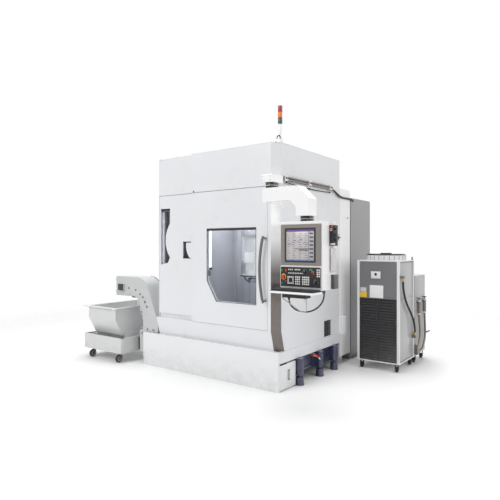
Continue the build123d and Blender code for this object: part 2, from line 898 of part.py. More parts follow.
def push_button(x, name):
    """Flat round push button standing proud of the panel by its travel"""
    with BuildPart() as button:
        cap_back = panel_front - running_gap - push_travel
        rod_y(x, push_z, cap_back - push_height, cap_back, push_radius)
        rod_y(x, push_z, cap_back, pendant_front - push_travel - 1, 7.7)
    save(button.part, name)


def rotary_knob(x, z, seat, name):
    """Rotary switch knob with a grip bar across it"""
    with BuildPart() as knob:
        rod_y(x, z, seat - 6, seat, knob_radius)
        with Locations((x, seat - 6 - (knob_height - 6) / 2, z)):
            Box(9, knob_height - 6, 2 * knob_radius - 4)
        rod_y(x, z, seat, pendant_front - 1, 6.7)
    save(knob.part, name)


push_button(start_x, "start_button")
push_button(halt_x, "halt_button")
rotary_knob(feed_x, feed_z, panel_front - running_gap, "feed_knob")
rotary_knob(mode_x, mode_z, panel_front - 1 - running_gap, "mode_knob")

# Hand unit hung on the pendant's right side, with its pulse wheel
unit_x = pendant_right + 46
hand_y, hand_z = -4, 1632
with BuildPart() as hand_unit:
    block((pendant_right, unit_x), (hand_y - 48, hand_y + 48), hand_unit_z)
    fillet(hand_unit.edges().filter_by(Axis.Z).group_by(Axis.X)[-1], radius=10)
    rod_x(hand_y, hand_z, unit_x - 10, unit_x + 2, 10, mode=Mode.SUBTRACT)
    rod_x(-20, 1718, unit_x, unit_x + 16, 13)
save(hand_unit.part, "hand_unit")

with BuildPart() as handwheel:
    rod_x(hand_y, hand_z, unit_x + running_gap, unit_x + running_gap + wheel_thick, wheel_radius)
    chamfer(handwheel.faces().sort_by(Axis.X)[-1].edges(), length=4)
    rod_x(hand_y + 24, hand_z, unit_x + wheel_thick, unit_x + wheel_thick + 18, 6)
    rod_x(hand_y, hand_z, unit_x - 8, unit_x + running_gap + 1, 9.7)
save(handwheel.part, "handwheel")

# Free cable loop under the pendant, from the box under the shelf to the pendant's floor
cable_radius = 7
cable_points = [(288, -250, shelf_top - shelf_thick - under_box_height),
                (288, -250, 1005), (312, -238, 958), (352, -212, 925), (404, -178, 908),
                (458, -138, 912), (508, -96, 940), (545, -62, 990), (562, -42, 1050),
                (562, -42, pendant_bottom)]


def cord_radii(points, least):
    """Largest bend radius at each inner corner of a cord's route"""
    radii = []
    for before, here, after in zip(points[:-2], points[1:-1], points[2:]):
        run_in = Vector(*here) - Vector(*before)
        run_out = Vector(*after) - Vector(*here)
        turn = radians(run_in.get_angle(run_out))
        shorter = min(run_in.length, run_out.length)
        radii.append(max(least, 0.45 * shorter / tan(turn / 2)))
    return radii


cable_bends = cord_radii(cable_points, 0)
print("pendant cable bend radii:", [round(r) for r in cable_bends])
with BuildPart() as pendant_cable:
    with BuildLine() as cable_path:
        FilletPolyline(*cable_points, radius=cable_bends)
    with BuildSketch(Plane(origin=cable_path.line @ 0, z_dir=cable_path.line % 0)):
        Circle(cable_radius)
    sweep()
cable_length = sum(edge.length for edge in cable_path.edges())
print("pendant cable volume share:",
      round(pendant_cable.part.volume / (pi * cable_radius ** 2 * cable_length), 4))
save(pendant_cable.part, "pendant_cable")


# Signal lamp: foot, elbow and tube on the roof, and the three lamps above
roof_top = enclosure_top + roof_sheet
with BuildPart() as lamp_mast:
    post_between(lamp_x, lamp_y, roof_top, roof_top + 30, 32)
    post_between(lamp_x, lamp_y, roof_top + 30, lamp_bottom - 100, mast_radius)
    post_between(lamp_x, lamp_y, lamp_bottom - 100, lamp_bottom, lamp_radius - 2)
save(lamp_mast.part, "lamp_mast")

with BuildPart() as signal_lamps:
    for i in range(3):
        low = lamp_bottom + i * lamp_height
        with BuildSketch(Plane.XZ.offset(-lamp_y)):
            with BuildLine():
                Polyline((lamp_x, low), (lamp_x + lamp_radius, low),
                         (lamp_x + lamp_radius, low + lamp_height - 8),
                         (lamp_x + lamp_radius - 4, low + lamp_height),
                         (lamp_x, low + lamp_height), close=True)
            make_face()
        revolve(axis=Axis((lamp_x, lamp_y, 0), (0, 0, 1)))
save(signal_lamps.part, "signal_lamps")


# Conduit run: two pipes in clamps along the side wall, then one cable down to the cabinet
conduit_x = enclosure_side + conduit_radius + 12
with BuildPart() as conduit_run:
    for row in (0, 1):
        rod_y(conduit_x, conduit_z + row * conduit_pitch, chamfer_y, conduit_end, conduit_radius)
    for y in (wall_front + 40, conduit_end - 30):
        block((enclosure_side, conduit_x + conduit_radius + 4), (y - 16, y + 16),
              (conduit_z - 16, conduit_z + conduit_pitch + 16))
    sag = [(conduit_x, conduit_end - 10, conduit_z), (conduit_x, 1300, 2240),
           (conduit_x, 1420, 2196), (conduit_x, 1560, 2180), (conduit_x, 1700, 2182),
           (conduit_x, 1800, 2176), (conduit_x - 8, cabinet_front + 30, 2160)]
    with BuildLine() as sag_path:
        FilletPolyline(*sag, radius=[min(r, 400) for r in cord_radii(sag, 0)])
    with BuildSketch(Plane(origin=sag_path.line @ 0, z_dir=sag_path.line % 0)):
        Circle(conduit_radius - 2)
    sweep()
save(conduit_run.part, "conduit_run")


# Chip conveyor: closed sheet housing that rises from the tank and turns over at the head
neck_turn = radians(neck_angle)
neck_base_z = boot_top + 120


def conveyor_outline(inset):
    """Side outline of the conveyor housing, or of its hollow when inset"""
    with BuildSketch(front_plane(conveyor_back - inset)) as outline:
        with BuildLine():
            outer_foot = Vector(neck_right - inset, neck_base_z)
            rise = head_top - inset - neck_base_z
            outer_bend_x = outer_foot.X - rise / tan(neck_turn)
            inner_foot_x = boot_left + 66 + inset
            inner_rise = head_bottom + inset - neck_base_z
            inner_bend_x = inner_foot_x - inner_rise / tan(neck_turn) * 0.62
            FilletPolyline((head_left + inset, head_bottom + inset),
                           (inner_bend_x, head_bottom + inset),
                           (inner_foot_x, neck_base_z), (inner_foot_x, boot_top),
                           radius=[inner_bend - inset, 60])
            Line((inner_foot_x, boot_top), (outer_foot.X, boot_top))
            FilletPolyline((outer_foot.X, boot_top), (outer_foot.X, neck_base_z),
                           (outer_bend_x, head_top - inset), (head_left + inset, head_top - inset),
                           radius=[60, outer_bend])
            Line((head_left + inset, head_top - inset), (head_left + inset, head_bottom + inset))
        make_face()
    return outline.sketch


with BuildPart() as conveyor_housing:
    extrude(conveyor_outline(0), amount=conveyor_back - conveyor_front)
    block((boot_left, neck_right), (conveyor_front, conveyor_back), (boot_bottom, boot_top))
    extrude(conveyor_outline(conveyor_sheet),
            amount=conveyor_back - conveyor_front - 2 * conveyor_sheet, mode=Mode.SUBTRACT)
    block((head_left + 40, head_left + 40 + discharge_length),
          (conveyor_front + conveyor_sheet, conveyor_back - conveyor_sheet),
          (head_bottom - 1, head_bottom + conveyor_sheet + 1), mode=Mode.SUBTRACT)
    for z in (head_top - 60, head_bottom + 40):
        block((head_left - flange, head_left), (conveyor_front, conveyor_back), (z, z + 20))
    with BuildSketch(front_plane(conveyor_front)):
        with Locations((head_left + 122, (head_top + head_bottom) / 2 - 16)):
            RectangleRounded(120, 96, 12)
    extrude(amount=24)
    post_between(boot_left + 60, conveyor_front + 60, 0, boot_bottom, 22)
    post_between(boot_left + 60, conveyor_back - 60, 0, boot_bottom, 22)
save(conveyor_housing.part, "conveyor_housing")

# Chip cart frame: folded channel frame with a flange for each caster
caster_x = (cart_left + caster_inset_x, cart_right - caster_inset_x)
caster_y = (cart_front + caster_inset_y, cart_back - caster_inset_y)
with BuildPart() as cart_frame:
    block((cart_left, cart_right), (cart_front, cart_back), (cart_bottom, cart_top))
    block((cart_left + cart_sheet, cart_right - cart_sheet),
          (cart_front + cart_sheet, cart_back - cart_sheet), (cart_bottom, cart_top),
          mode=Mode.SUBTRACT)
    for x in caster_x:
        for y in caster_y:
            side = -1 if x < (cart_left + cart_right) / 2 else 1
            edge = cart_left if side < 0 else cart_right
            near = sorted((edge - side * cart_sheet, x - side * 60))
            block(near, (y - 60, y + 60), (cart_bottom, cart_bottom + 14))
    for x in (hopper_left - 12, hopper_right + 12):
        side = -1 if x < hopper_left else 1
        edge = cart_left + cart_sheet if side < 0 else cart_right - cart_sheet
        block(sorted((edge + side, x)), (cart_front + 140, cart_back - 140),
              (cart_top - 30, cart_top - 16))
        block(sorted((x, x - side * 12)), (cart_front + 140, cart_back - 140),
              (cart_top - 30, cart_top + 70))
save(cart_frame.part, "cart_frame")


# Hopper: trough with sloping front and back, rolled rim and a pouring lip on the left
def trough(inset, top):
    """End outline of the hopper, or of its hollow when inset"""
    front = cart_front + inset
    back = cart_back + 10 - inset
    low = hopper_bottom + inset
    return ((front, top), (front, hopper_shoulder), (front + hopper_slope, low),
            (back - hopper_slope, low), (back, hopper_shoulder), (back, top))


with BuildPart() as cart_hopper:
    with BuildSketch(side_plane(hopper_left)):
        with BuildLine():
            Polyline(*trough(0, hopper_top), close=True)
        make_face()
    extrude(amount=hopper_right - hopper_left)
    block((hopper_left - pour_lip, hopper_right + rim), (cart_front - rim, cart_back + 10 + rim),
          (hopper_top - rim_thick, hopper_top))
    with BuildSketch(side_plane(hopper_left + hopper_sheet)):
        with BuildLine():
            Polyline(*trough(hopper_sheet, hopper_top + 1), close=True)
        make_face()
    extrude(amount=hopper_right - hopper_left - 2 * hopper_sheet, mode=Mode.SUBTRACT)
save(cart_hopper.part, "cart_hopper")

# Drain cock lever on the cart's right side
lever_y = cart_front + 300
lever_z = cart_bottom + 170
with BuildPart() as drain_lever:
    rod_x(lever_y, lever_z, cart_right + running_gap, cart_right + 20, 11)
    block((cart_right + 10, cart_right + 20), (lever_y - 11, lever_y + 11),
          (lever_z - 150, lever_z))
save(drain_lever.part, "drain_lever")


def caster_fork(x, y, top, r, width, back):
    """Caster fork under height top: plate, two cheeks and a fixed axle pin for the wheel"""
    with BuildPart() as fork:
        post_between(x, y, top - 10, top, width * 0.9)
        cheek = width / 2 + fork_gap
        for side in (-1, 1):
            with BuildSketch(side_plane(x + side * (cheek + fork_sheet / 2) - fork_sheet / 2)):
                with BuildLine():
                    Polyline((y - r * 0.4, top - 10), (y + r * 0.4, top - 10),
                             (y + back + axle_r + 6, r), (y + back, r - axle_r - 6),
                             (y + back - axle_r - 6, r), close=True)
                make_face()
            extrude(amount=fork_sheet)
        rod_x(y + back, r, x - cheek, x + cheek, axle_r)
    return fork.part


def caster_wheel(x, y, r, width, back):
    """Caster wheel with a bore that runs on the fork's axle pin"""
    with BuildPart() as wheel:
        rod_x(y + back, r, x - width / 2, x + width / 2, r)
        chamfer(wheel.edges().filter_by(GeomType.CIRCLE), length=4)
        hub = width / 2 + fork_gap - running_gap
        rod_x(y + back, r, x - hub, x + hub, axle_r + 5)
        rod_x(y + back, r, x - width, x + width, axle_r + fit, mode=Mode.SUBTRACT)
    return wheel.part


corners = {"front_left": (caster_x[0], caster_y[0]), "front_right": (caster_x[1], caster_y[0]),
           "rear_left": (caster_x[0], caster_y[1]), "rear_right": (caster_x[1], caster_y[1])}
for place, (x, y) in corners.items():
    back = -trail if "front" in place else trail
    save(caster_wheel(x, y, wheel_r, wheel_w, back), f"wheel_{place}")
    if "front" in place:
        fork = caster_fork(x, y, cart_bottom - running_gap, wheel_r, wheel_w, back)
        save(fork, f"fork_{place}")

# The two rear forks don't swivel and are alike, so they share a node
with BuildPart() as rear_forks:
    for x in caster_x:
        add(caster_fork(x, caster_y[1], cart_bottom, wheel_r, wheel_w, trail))
save(rear_forks.part, "rear_forks")


# Chiller frame: four posts, rails and the fan ring on top
chiller_x = (chiller_left + chiller_right) / 2
chiller_y = (chiller_front + chiller_back) / 2
with BuildPart() as chiller_frame:
    for x in (chiller_left, chiller_right - post):
        for y in (chiller_front, chiller_back - post):
            block((x, x + post), (y, y + post), (chiller_bottom, chiller_top))
    for z in (chiller_bottom, chiller_top - 14):
        block((chiller_left, chiller_right), (chiller_front, chiller_back), (z, z + 14))
    with Locations((chiller_x, chiller_y, chiller_top + fan_ring_height / 2)):
        Cylinder(fan_ring_radius, fan_ring_height)
    post_between(chiller_x, chiller_y, chiller_top - 14, chiller_top + fan_ring_height,
                 fan_ring_radius - 10, mode=Mode.SUBTRACT)
save(chiller_frame.part, "chiller_frame")

# Chiller body: sheet box between the posts, with the control plate on its front
with BuildPart() as chiller_body:
    block((chiller_left + body_inset, chiller_right - body_inset),
          (chiller_front + body_inset, chiller_back - body_inset),
          (chiller_bottom + 14, chiller_top - 14))
    for x in (chiller_left, chiller_right - post):
        for y in (chiller_front, chiller_back - post):
            block((x - 1, x + post + 0.3), (y - 1, y + post + 0.3), (0, chiller_top),
                  mode=Mode.SUBTRACT)
    block((chiller_left + post, chiller_right - post), (chiller_front, chiller_front + grille_depth + 2),
          (0, grille_top), mode=Mode.SUBTRACT)
    post_between(chiller_x, chiller_y, chiller_top - 90, chiller_top, fan_ring_radius - 12,
                 mode=Mode.SUBTRACT)
    block(control_x, (chiller_front + 2, chiller_front + body_inset), control_z)
    fitting_x = (chiller_right - body_inset, hose_x + fitting / 2)
    block(fitting_x, (1578 - fitting / 2, 1578 + fitting / 2), (1150, 1150 + fitting))
    block(fitting_x, (2034 - fitting / 2, 2034 + fitting / 2), (396 - fitting, 396))
save(chiller_body.part, "chiller_body")

# Chiller grille: two panels of slanted slats in a frame
with BuildPart() as chiller_grille:
    grille_left = chiller_left + post + 0.3
    grille_right = chiller_right - post - 0.3
    grille_bottom = chiller_bottom + 14.3
    grille_back = chiller_front + grille_depth
    block((grille_left, grille_right), (chiller_front + 3, grille_back),
          (grille_bottom, grille_top - 0.3))
    for x0, x1 in ((grille_left + 12, chiller_x - 5), (chiller_x + 5, grille_right - 12)):
        block((x0, x1), (chiller_front, grille_back + 1), (grille_bottom + 12, grille_top - 12),
              mode=Mode.SUBTRACT)
    pitch = (grille_top - grille_bottom - 24) / grille_slats
    for i in range(grille_slats):
        low = grille_bottom + 12 + i * pitch - 1
        with BuildSketch(side_plane(grille_left + 12 - slat_end)):
            with BuildLine():
                Polyline((chiller_front + 4, low + 2), (chiller_front + 4, low + 6),
                         (grille_back - 3, low + pitch), (grille_back - 3, low + pitch - 5),
                         close=True)
            make_face()
        extrude(amount=grille_right - grille_left - 24 + 2 * slat_end)
save(chiller_grille.part, "chiller_grille")

# Chiller fan: hub and twisted blades inside the ring
fan_z = chiller_top + 12
with BuildPart() as chiller_fan:
    post_between(chiller_x, chiller_y, fan_z - 20, fan_z + 20, fan_hub)
    blade_length = fan_ring_radius - fan_hub - 20
    with Locations((chiller_x, chiller_y, fan_z)):
        with PolarLocations(fan_hub - 5 + blade_length / 2, fan_blades):
            Box(blade_length, blade_width, 5, rotation=(blade_twist, 0, 0))
save(chiller_fan.part, "chiller_fan")

# Fan guard: motor bridge, spokes and rings of wire over the fan
guard_z = chiller_top + fan_ring_height
with BuildPart() as fan_guard:
    for radius in (70, 130, 190, fan_ring_radius - 4):
        with BuildSketch(level(guard_z)):
            with Locations((chiller_x, chiller_y)):
                Circle(radius)
                Circle(radius - 8, mode=Mode.SUBTRACT)
        extrude(amount=6)
    with BuildSketch(level(guard_z)):
        with Locations((chiller_x, chiller_y)):
            for turn in (0, 45, 90, 135):
                Rectangle(2 * fan_ring_radius - 10, 7, rotation=turn)
    extrude(amount=6)
    post_between(chiller_x, chiller_y, guard_z, guard_z + 22, 64)
    post_between(chiller_x, chiller_y, fan_z + 20 + running_gap, guard_z, 18)
save(fan_guard.part, "fan_guard")


# Small twin-cheek casters under the chiller and the coolant unit, all alike
def small_caster(x, y, top):
    """Plate, fork and wheel of one small caster, in the part being built"""
    block((x - 30, x + 30), (y - 30, y + 30), (top - 6, top))
    for side in (-1, 1):
        block(sorted((x + side * 17, x + side * 21)), (y - 16, y + 20), (small_wheel_r - 8, top - 6))
    rod_x(y, small_wheel_r, x - small_wheel_w / 2, x + small_wheel_w / 2, small_wheel_r)
    rod_x(y, small_wheel_r, x - 21, x + 21, 6)


with BuildPart() as chiller_casters:
    for x in (chiller_left + 45, chiller_right - 45):
        for y in (chiller_front + 45, chiller_back - 45):
            small_caster(x, y, chiller_bottom)
    for x in (unit_left + 45, chiller_right - 45):
        small_caster(x, unit_back - 45, unit_bottom)
        small_caster(x, unit_front + 60, unit_bottom)
save(chiller_casters.part, "chiller_casters")

# Coolant unit behind the chiller
with BuildPart() as coolant_unit:
    block((unit_left, chiller_right - 4), (unit_front, unit_back), (unit_bottom, unit_top))
    fillet(coolant_unit.edges().filter_by(Axis.Z), radius=8)
    block((unit_left + 60, duct_right), (chiller_back, unit_front),
          (unit_bottom + 60, unit_bottom + 200))
save(coolant_unit.part, "coolant_unit")

# Valves on the coolant unit's side, and the two pipes from them to the block behind the chiller
valve_x = chiller_right - 4 + 26
pipe_block_right = valve_x + 20
pipe_block_back = chiller_back + 54
pipe_routes = (((valve_y[0], valve_bottom), (2237, 560), (2264, 450), (2262, 345), (2220, 258),
                (2185, 218), (pipe_block_back, 218)),
               ((valve_y[1], valve_bottom), (2482, 540), (lever_y_top, 430), (lever_y_top, 330),
                (2450, 222), (2368, 164), (2250, 152), (pipe_block_back, 152)))
with BuildPart() as unit_pipes:
    for y in valve_y:
        rod_x(y, valve_bottom + 160, chiller_right - 4, valve_x, 12)
        post_between(valve_x, y, valve_bottom, valve_top, valve_radius)
    for route in pipe_routes:
        points = [(valve_x, y, z) for y, z in route]
        with BuildLine() as pipe_line:
            FilletPolyline(*points, radius=cord_radii(points, 0))
        with BuildSketch(Plane(origin=pipe_line.line @ 0, z_dir=pipe_line.line % 0)):
            Circle(hose_radius)
        sweep()
    block((duct_right, pipe_block_right), (chiller_back + 4, pipe_block_back), (125, 245))
save(unit_pipes.part, "unit_pipes")

with BuildPart() as valve_lever:
    lever_x = valve_x + hose_radius
    rod_x(lever_y_top, lever_z_top, lever_x + running_gap, lever_x + 14, 10)
    block((lever_x + 6, lever_x + 14), (lever_y_top, lever_tip),
          (lever_z_top - 8, lever_z_top + 8))
save(valve_lever.part, "valve_lever")

# Hose beside the chiller, from the fitting at its top to the one near its foot
hose_route = ((1578, 1150), (1578, 1085), (1596, 1005), (1640, 922), (1705, 842), (1785, 770),
              (1870, 703), (1945, 635), (2002, 560), (2034, 478), (2034, 396))
hose_points = [(hose_x, y, z) for y, z in hose_route]
print("hose bend radii:", [round(r) for r in cord_radii(hose_points, 0)])
with BuildPart() as chiller_hose:
    with BuildLine() as hose_path:
        FilletPolyline(*hose_points, radius=cord_radii(hose_points, 0))
    with BuildSketch(Plane(origin=hose_path.line @ 0, z_dir=hose_path.line % 0)):
        Circle(hose_radius)
    sweep()
save(chiller_hose.part, "chiller_hose")
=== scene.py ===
import bpy
import bmesh
from itertools import product
from math import cos, pi, radians, sin
from mathutils import Matrix, Vector


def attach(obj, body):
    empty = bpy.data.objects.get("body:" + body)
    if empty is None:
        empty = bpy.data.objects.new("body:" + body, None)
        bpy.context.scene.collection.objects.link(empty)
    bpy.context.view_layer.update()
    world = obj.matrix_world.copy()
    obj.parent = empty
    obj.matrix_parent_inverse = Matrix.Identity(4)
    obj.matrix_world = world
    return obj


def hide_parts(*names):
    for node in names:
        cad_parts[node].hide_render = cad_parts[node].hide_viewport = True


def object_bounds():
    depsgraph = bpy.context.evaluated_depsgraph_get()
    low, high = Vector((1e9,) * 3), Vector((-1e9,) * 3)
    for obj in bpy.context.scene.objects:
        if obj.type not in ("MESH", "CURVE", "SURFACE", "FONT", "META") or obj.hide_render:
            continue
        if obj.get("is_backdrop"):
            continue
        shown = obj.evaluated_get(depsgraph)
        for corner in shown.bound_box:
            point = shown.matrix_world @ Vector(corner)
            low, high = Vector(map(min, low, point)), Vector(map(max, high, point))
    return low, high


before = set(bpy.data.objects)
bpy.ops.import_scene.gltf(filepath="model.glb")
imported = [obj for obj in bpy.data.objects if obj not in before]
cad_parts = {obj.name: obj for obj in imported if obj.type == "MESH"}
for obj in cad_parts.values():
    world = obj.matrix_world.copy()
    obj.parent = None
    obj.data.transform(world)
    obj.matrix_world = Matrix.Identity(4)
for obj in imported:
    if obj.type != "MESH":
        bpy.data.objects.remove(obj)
cad_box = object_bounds()

# Bevel gear cutting machine with its pendant, chip conveyor, chip cart, oil chiller and
# coolant unit.
# Every place below is in millimetres from the floor corner under the machine's front right:
# x to the right, y to the back, z up. The machine itself lies at negative x.
CORNER_X = 1160
CORNER_Y = -1121

# Places that more than one piece shares
CLAMP_ROW = (128, 640, 1162)
LAMP_X, LAMP_Y = -38, 95
STOP_X, STOP_Z = 201, 1248
FEED_X, FEED_Z = 442, 1300
MODE_X, MODE_Z = 559, 1208
PANEL_FACE = -209.5
KEY_TOP = -213
DISPLAY_FACE = -207.4
NECK_FACE = 47.4
AXLE_Z = 50
WHEEL_LEFT, WHEEL_RIGHT = -3014, -2441
FAN_X, FAN_Y = 483.5, 1808.5
HOSE_X = 783
PIPE_X = 777
PIPE_ROW = (2225, 2470)
LEFT_WALL = -1869.5

FORWARD = (0, -1, 0)
BACKWARD = (0, 1, 0)
UPWARD = (0, 0, 1)
DOWNWARD = (0, 0, -1)
RIGHTWARD = (1, 0, 0)
LEFTWARD = (-1, 0, 0)
CREASE_ANGLE = radians(35)


def at(x, y, z):
    """A place in millimetres from the machine's corner, as metres in the part's frame"""
    return Vector((x + CORNER_X, y + CORNER_Y, z)) / 1000


# Shader groups


def new_group(name, inputs, outputs):
    """Empty node group with named sockets, and its input and output nodes"""
    group = bpy.data.node_groups.new(name, "ShaderNodeTree")
    for title, kind, value in inputs:
        socket = group.interface.new_socket(title, in_out="INPUT", socket_type=kind)
        socket.default_value = value
    for title, kind in outputs:
        group.interface.new_socket(title, in_out="OUTPUT", socket_type=kind)
    return group, group.nodes.new("NodeGroupInput"), group.nodes.new("NodeGroupOutput")


def put(tree, kind, **values):
    """A node with its settings; names with a capital are sockets, the others properties"""
    node = tree.nodes.new(kind)
    for name, value in values.items():
        if name[0].isupper():
            node.inputs[name.replace("_", " ")].default_value = value
        else:
            setattr(node, name, value)
    return node


def join(tree, source, target):
    tree.links.new(source, target)


def calculate(tree, operation, first, second):
    """Math node on a socket and a socket or number; its value socket"""
    node = put(tree, "ShaderNodeMath", operation=operation)
    join(tree, first, node.inputs[0])
    if isinstance(second, (int, float)):
        node.inputs[1].default_value = second
    else:
        join(tree, second, node.inputs[1])
    return node.outputs[0]


def ramp(tree, source, low, high, out_low=0.0, out_high=1.0):
    """Map Range node from one span to another, clamped"""
    node = put(tree, "ShaderNodeMapRange", clamp=True)
    for socket, value in zip(("From Min", "From Max", "To Min", "To Max"),
                             (low, high, out_low, out_high)):
        node.inputs[socket].default_value = value
    join(tree, source, node.inputs["Value"])
    return node.outputs["Result"]


def mix_colour(tree, mask, first, second):
    """Colour mix of two sockets or colours by a mask"""
    node = put(tree, "ShaderNodeMix", data_type="RGBA", clamp_factor=True)
    join(tree, mask, node.inputs["Factor"])
    for index, value in ((6, first), (7, second)):
        if isinstance(value, tuple):
            node.inputs[index].default_value = (*value, 1)
        else:
            join(tree, value, node.inputs[index])
    return node.outputs[2]


FLOAT = "NodeSocketFloat"
VECTOR = "NodeSocketVector"


def make_cloud_group():
    """Slow change of tone over a surface, with finer mottling in it"""
    slow_share = 0.8
    tree, ins, outs = new_group("Tone Cloud", (("Size", FLOAT, 2.0),), (("Mask", FLOAT),))
    place = put(tree, "ShaderNodeTexCoord")
    slow = put(tree, "ShaderNodeTexNoise", Detail=3, Roughness=0.55)
    fine = put(tree, "ShaderNodeTexNoise", Scale=140, Detail=2, Roughness=0.6)
    join(tree, place.outputs["Object"], slow.inputs["Vector"])
    join(tree, place.outputs["Object"], fine.inputs["Vector"])
    join(tree, ins.outputs["Size"], slow.inputs["Scale"])
    broad = calculate(tree, "MULTIPLY", slow.outputs["Fac"], slow_share)
    small = calculate(tree, "MULTIPLY", fine.outputs["Fac"], 1 - slow_share)
    join(tree, calculate(tree, "ADD", broad, small), outs.inputs["Mask"])
    return tree


def make_edge_group():
    """Rounded look of a folded edge: the softened normal, and a mask of where it turns"""
    tree, ins, outs = new_group("Folded Edge", (("Radius", FLOAT, 0.003),),
                                (("Normal", VECTOR), ("Mask", FLOAT)))
    bevel = put(tree, "ShaderNodeBevel", samples=4)
    join(tree, ins.outputs["Radius"], bevel.inputs["Radius"])
    shape = put(tree, "ShaderNodeNewGeometry")
    turn = put(tree, "ShaderNodeVectorMath", operation="DOT_PRODUCT")
    join(tree, bevel.outputs["Normal"], turn.inputs[0])
    join(tree, shape.outputs["Normal"], turn.inputs[1])
    join(tree, bevel.outputs["Normal"], outs.inputs["Normal"])
    join(tree, ramp(tree, turn.outputs["Value"], 0.99, 0.8), outs.inputs["Mask"])
    return tree


def make_rub_group():
    """Broken-up wear along the edges"""
    tree, ins, outs = new_group("Edge Rub", (("Edge", FLOAT, 0.0), ("Amount", FLOAT, 0.5)),
                                (("Mask", FLOAT),))
    place = put(tree, "ShaderNodeTexCoord")
    chips = put(tree, "ShaderNodeTexNoise", Scale=45, Detail=5, Roughness=0.65)
    join(tree, place.outputs["Object"], chips.inputs["Vector"])
    broken = ramp(tree, chips.outputs["Fac"], 0.52, 0.62)
    worn = calculate(tree, "MULTIPLY", ins.outputs["Edge"], broken)
    join(tree, calculate(tree, "MULTIPLY", worn, ins.outputs["Amount"]), outs.inputs["Mask"])
    return tree


def make_dust_group():
    """Floor dust and scuffs that fade out with height"""
    tree, ins, outs = new_group("Floor Dust", (("Height", FLOAT, 0.35), ("Amount", FLOAT, 0.5)),
                                (("Mask", FLOAT),))
    place = put(tree, "ShaderNodeTexCoord")
    split = put(tree, "ShaderNodeSeparateXYZ")
    smear = put(tree, "ShaderNodeTexNoise", Scale=9, Detail=6, Roughness=0.7)
    join(tree, place.outputs["Object"], split.inputs["Vector"])
    join(tree, place.outputs["Object"], smear.inputs["Vector"])
    part = calculate(tree, "DIVIDE", split.outputs["Z"], ins.outputs["Height"])
    low = ramp(tree, part, 0.0, 1.0, 1.0, 0.0)
    mask = calculate(tree, "MULTIPLY", low, ramp(tree, smear.outputs["Fac"], 0.35, 0.75))
    join(tree, calculate(tree, "MULTIPLY", mask, ins.outputs["Amount"]), outs.inputs["Mask"])
    return tree


def make_peel_group():
    """Height of sprayed paint's orange peel"""
    tree, ins, outs = new_group("Spray Peel", (("Scale", FLOAT, 260.0),), (("Height", FLOAT),))
    place = put(tree, "ShaderNodeTexCoord")
    peel = put(tree, "ShaderNodeTexNoise", Detail=2, Roughness=0.45)
    join(tree, place.outputs["Object"], peel.inputs["Vector"])
    join(tree, ins.outputs["Scale"], peel.inputs["Scale"])
    join(tree, peel.outputs["Fac"], outs.inputs["Height"])
    return tree


def make_brush_group():
    """Fine drawn lines of brushed metal; Stretch sets how long they are along each axis"""
    tree, ins, outs = new_group("Brush Lines", (("Stretch", VECTOR, (900, 900, 6)),),
                                (("Height", FLOAT), ("Streak", FLOAT)))
    place = put(tree, "ShaderNodeTexCoord")
    drawn = put(tree, "ShaderNodeVectorMath", operation="MULTIPLY")
    lines = put(tree, "ShaderNodeTexNoise", Scale=1, Detail=3, Roughness=0.7)
    join(tree, place.outputs["Object"], drawn.inputs[0])
    join(tree, ins.outputs["Stretch"], drawn.inputs[1])
    join(tree, drawn.outputs["Vector"], lines.inputs["Vector"])
    join(tree, lines.outputs["Fac"], outs.inputs["Height"])
    join(tree, ramp(tree, lines.outputs["Fac"], 0.3, 0.7), outs.inputs["Streak"])
    return tree


CLOUD = make_cloud_group()
EDGE = make_edge_group()
RUB = make_rub_group()
DUST = make_dust_group()
PEEL = make_peel_group()
BRUSH = make_brush_group()


# Materials

DUST_COLOUR = (0.36, 0.34, 0.31)
SCUFF_COLOUR = (0.3, 0.28, 0.26)


def placed(tree, group, **values):
    """A shader group in a material, with its own values"""
    node = put(tree, "ShaderNodeGroup", node_tree=group)
    for name, value in values.items():
        node.inputs[name].default_value = value
    return node


def surface(name, **constants):
    """New material with a Principled shader; the constants go on its own sockets"""
    material = bpy.data.materials.new(name)
    material.use_nodes = True
    shader = material.node_tree.nodes["Principled BSDF"]
    for socket, value in constants.items():
        shader.inputs[socket.replace("_", " ")].default_value = value
    return material, material.node_tree, shader


def shade(colour, factor):
    """A colour made darker or lighter"""
    return tuple(min(1, c * factor) for c in colour)


def clouded(tree, cloud, colour, tone):
    """The colour, a little darker and lighter from place to place"""
    return mix_colour(tree, cloud.outputs["Mask"], shade(colour, 1 - tone), shade(colour, 1 + tone))


def bump_from(tree, height, normal, depth):
    """Bump node on a height and a softened normal"""
    bump = put(tree, "ShaderNodeBump", Strength=1, Distance=depth)
    join(tree, height, bump.inputs["Height"])
    join(tree, normal, bump.inputs["Normal"])
    return bump.outputs["Normal"]


def coated(name, colour, rough=0.35, radius=0.003, rub=0.4, worn=(0.3, 0.3, 0.31), dust=0.2,
           dust_height=0.4, peel=0.00004, peel_scale=260, tone=0.04, coat=0.25):
    """Sprayed paint over sheet metal or castings"""
    material, tree, shader = surface(name, Coat_Weight=coat, Coat_Roughness=0.18)
    edge = placed(tree, EDGE, Radius=radius)
    cloud = placed(tree, CLOUD, Size=1.6)
    chips = placed(tree, RUB, Amount=rub)
    dirt = placed(tree, DUST, Height=dust_height, Amount=dust)
    skin = placed(tree, PEEL, Scale=peel_scale)
    join(tree, edge.outputs["Mask"], chips.inputs["Edge"])
    base = clouded(tree, cloud, colour, tone)
    dusty = mix_colour(tree, dirt.outputs["Mask"], base, DUST_COLOUR)
    join(tree, mix_colour(tree, chips.outputs["Mask"], dusty, worn), shader.inputs["Base Color"])
    join(tree, ramp(tree, cloud.outputs["Mask"], 0.3, 0.7, rough - 0.05, rough + 0.07),
         shader.inputs["Roughness"])
    join(tree, bump_from(tree, skin.outputs["Height"], edge.outputs["Normal"], peel),
         shader.inputs["Normal"])
    return material


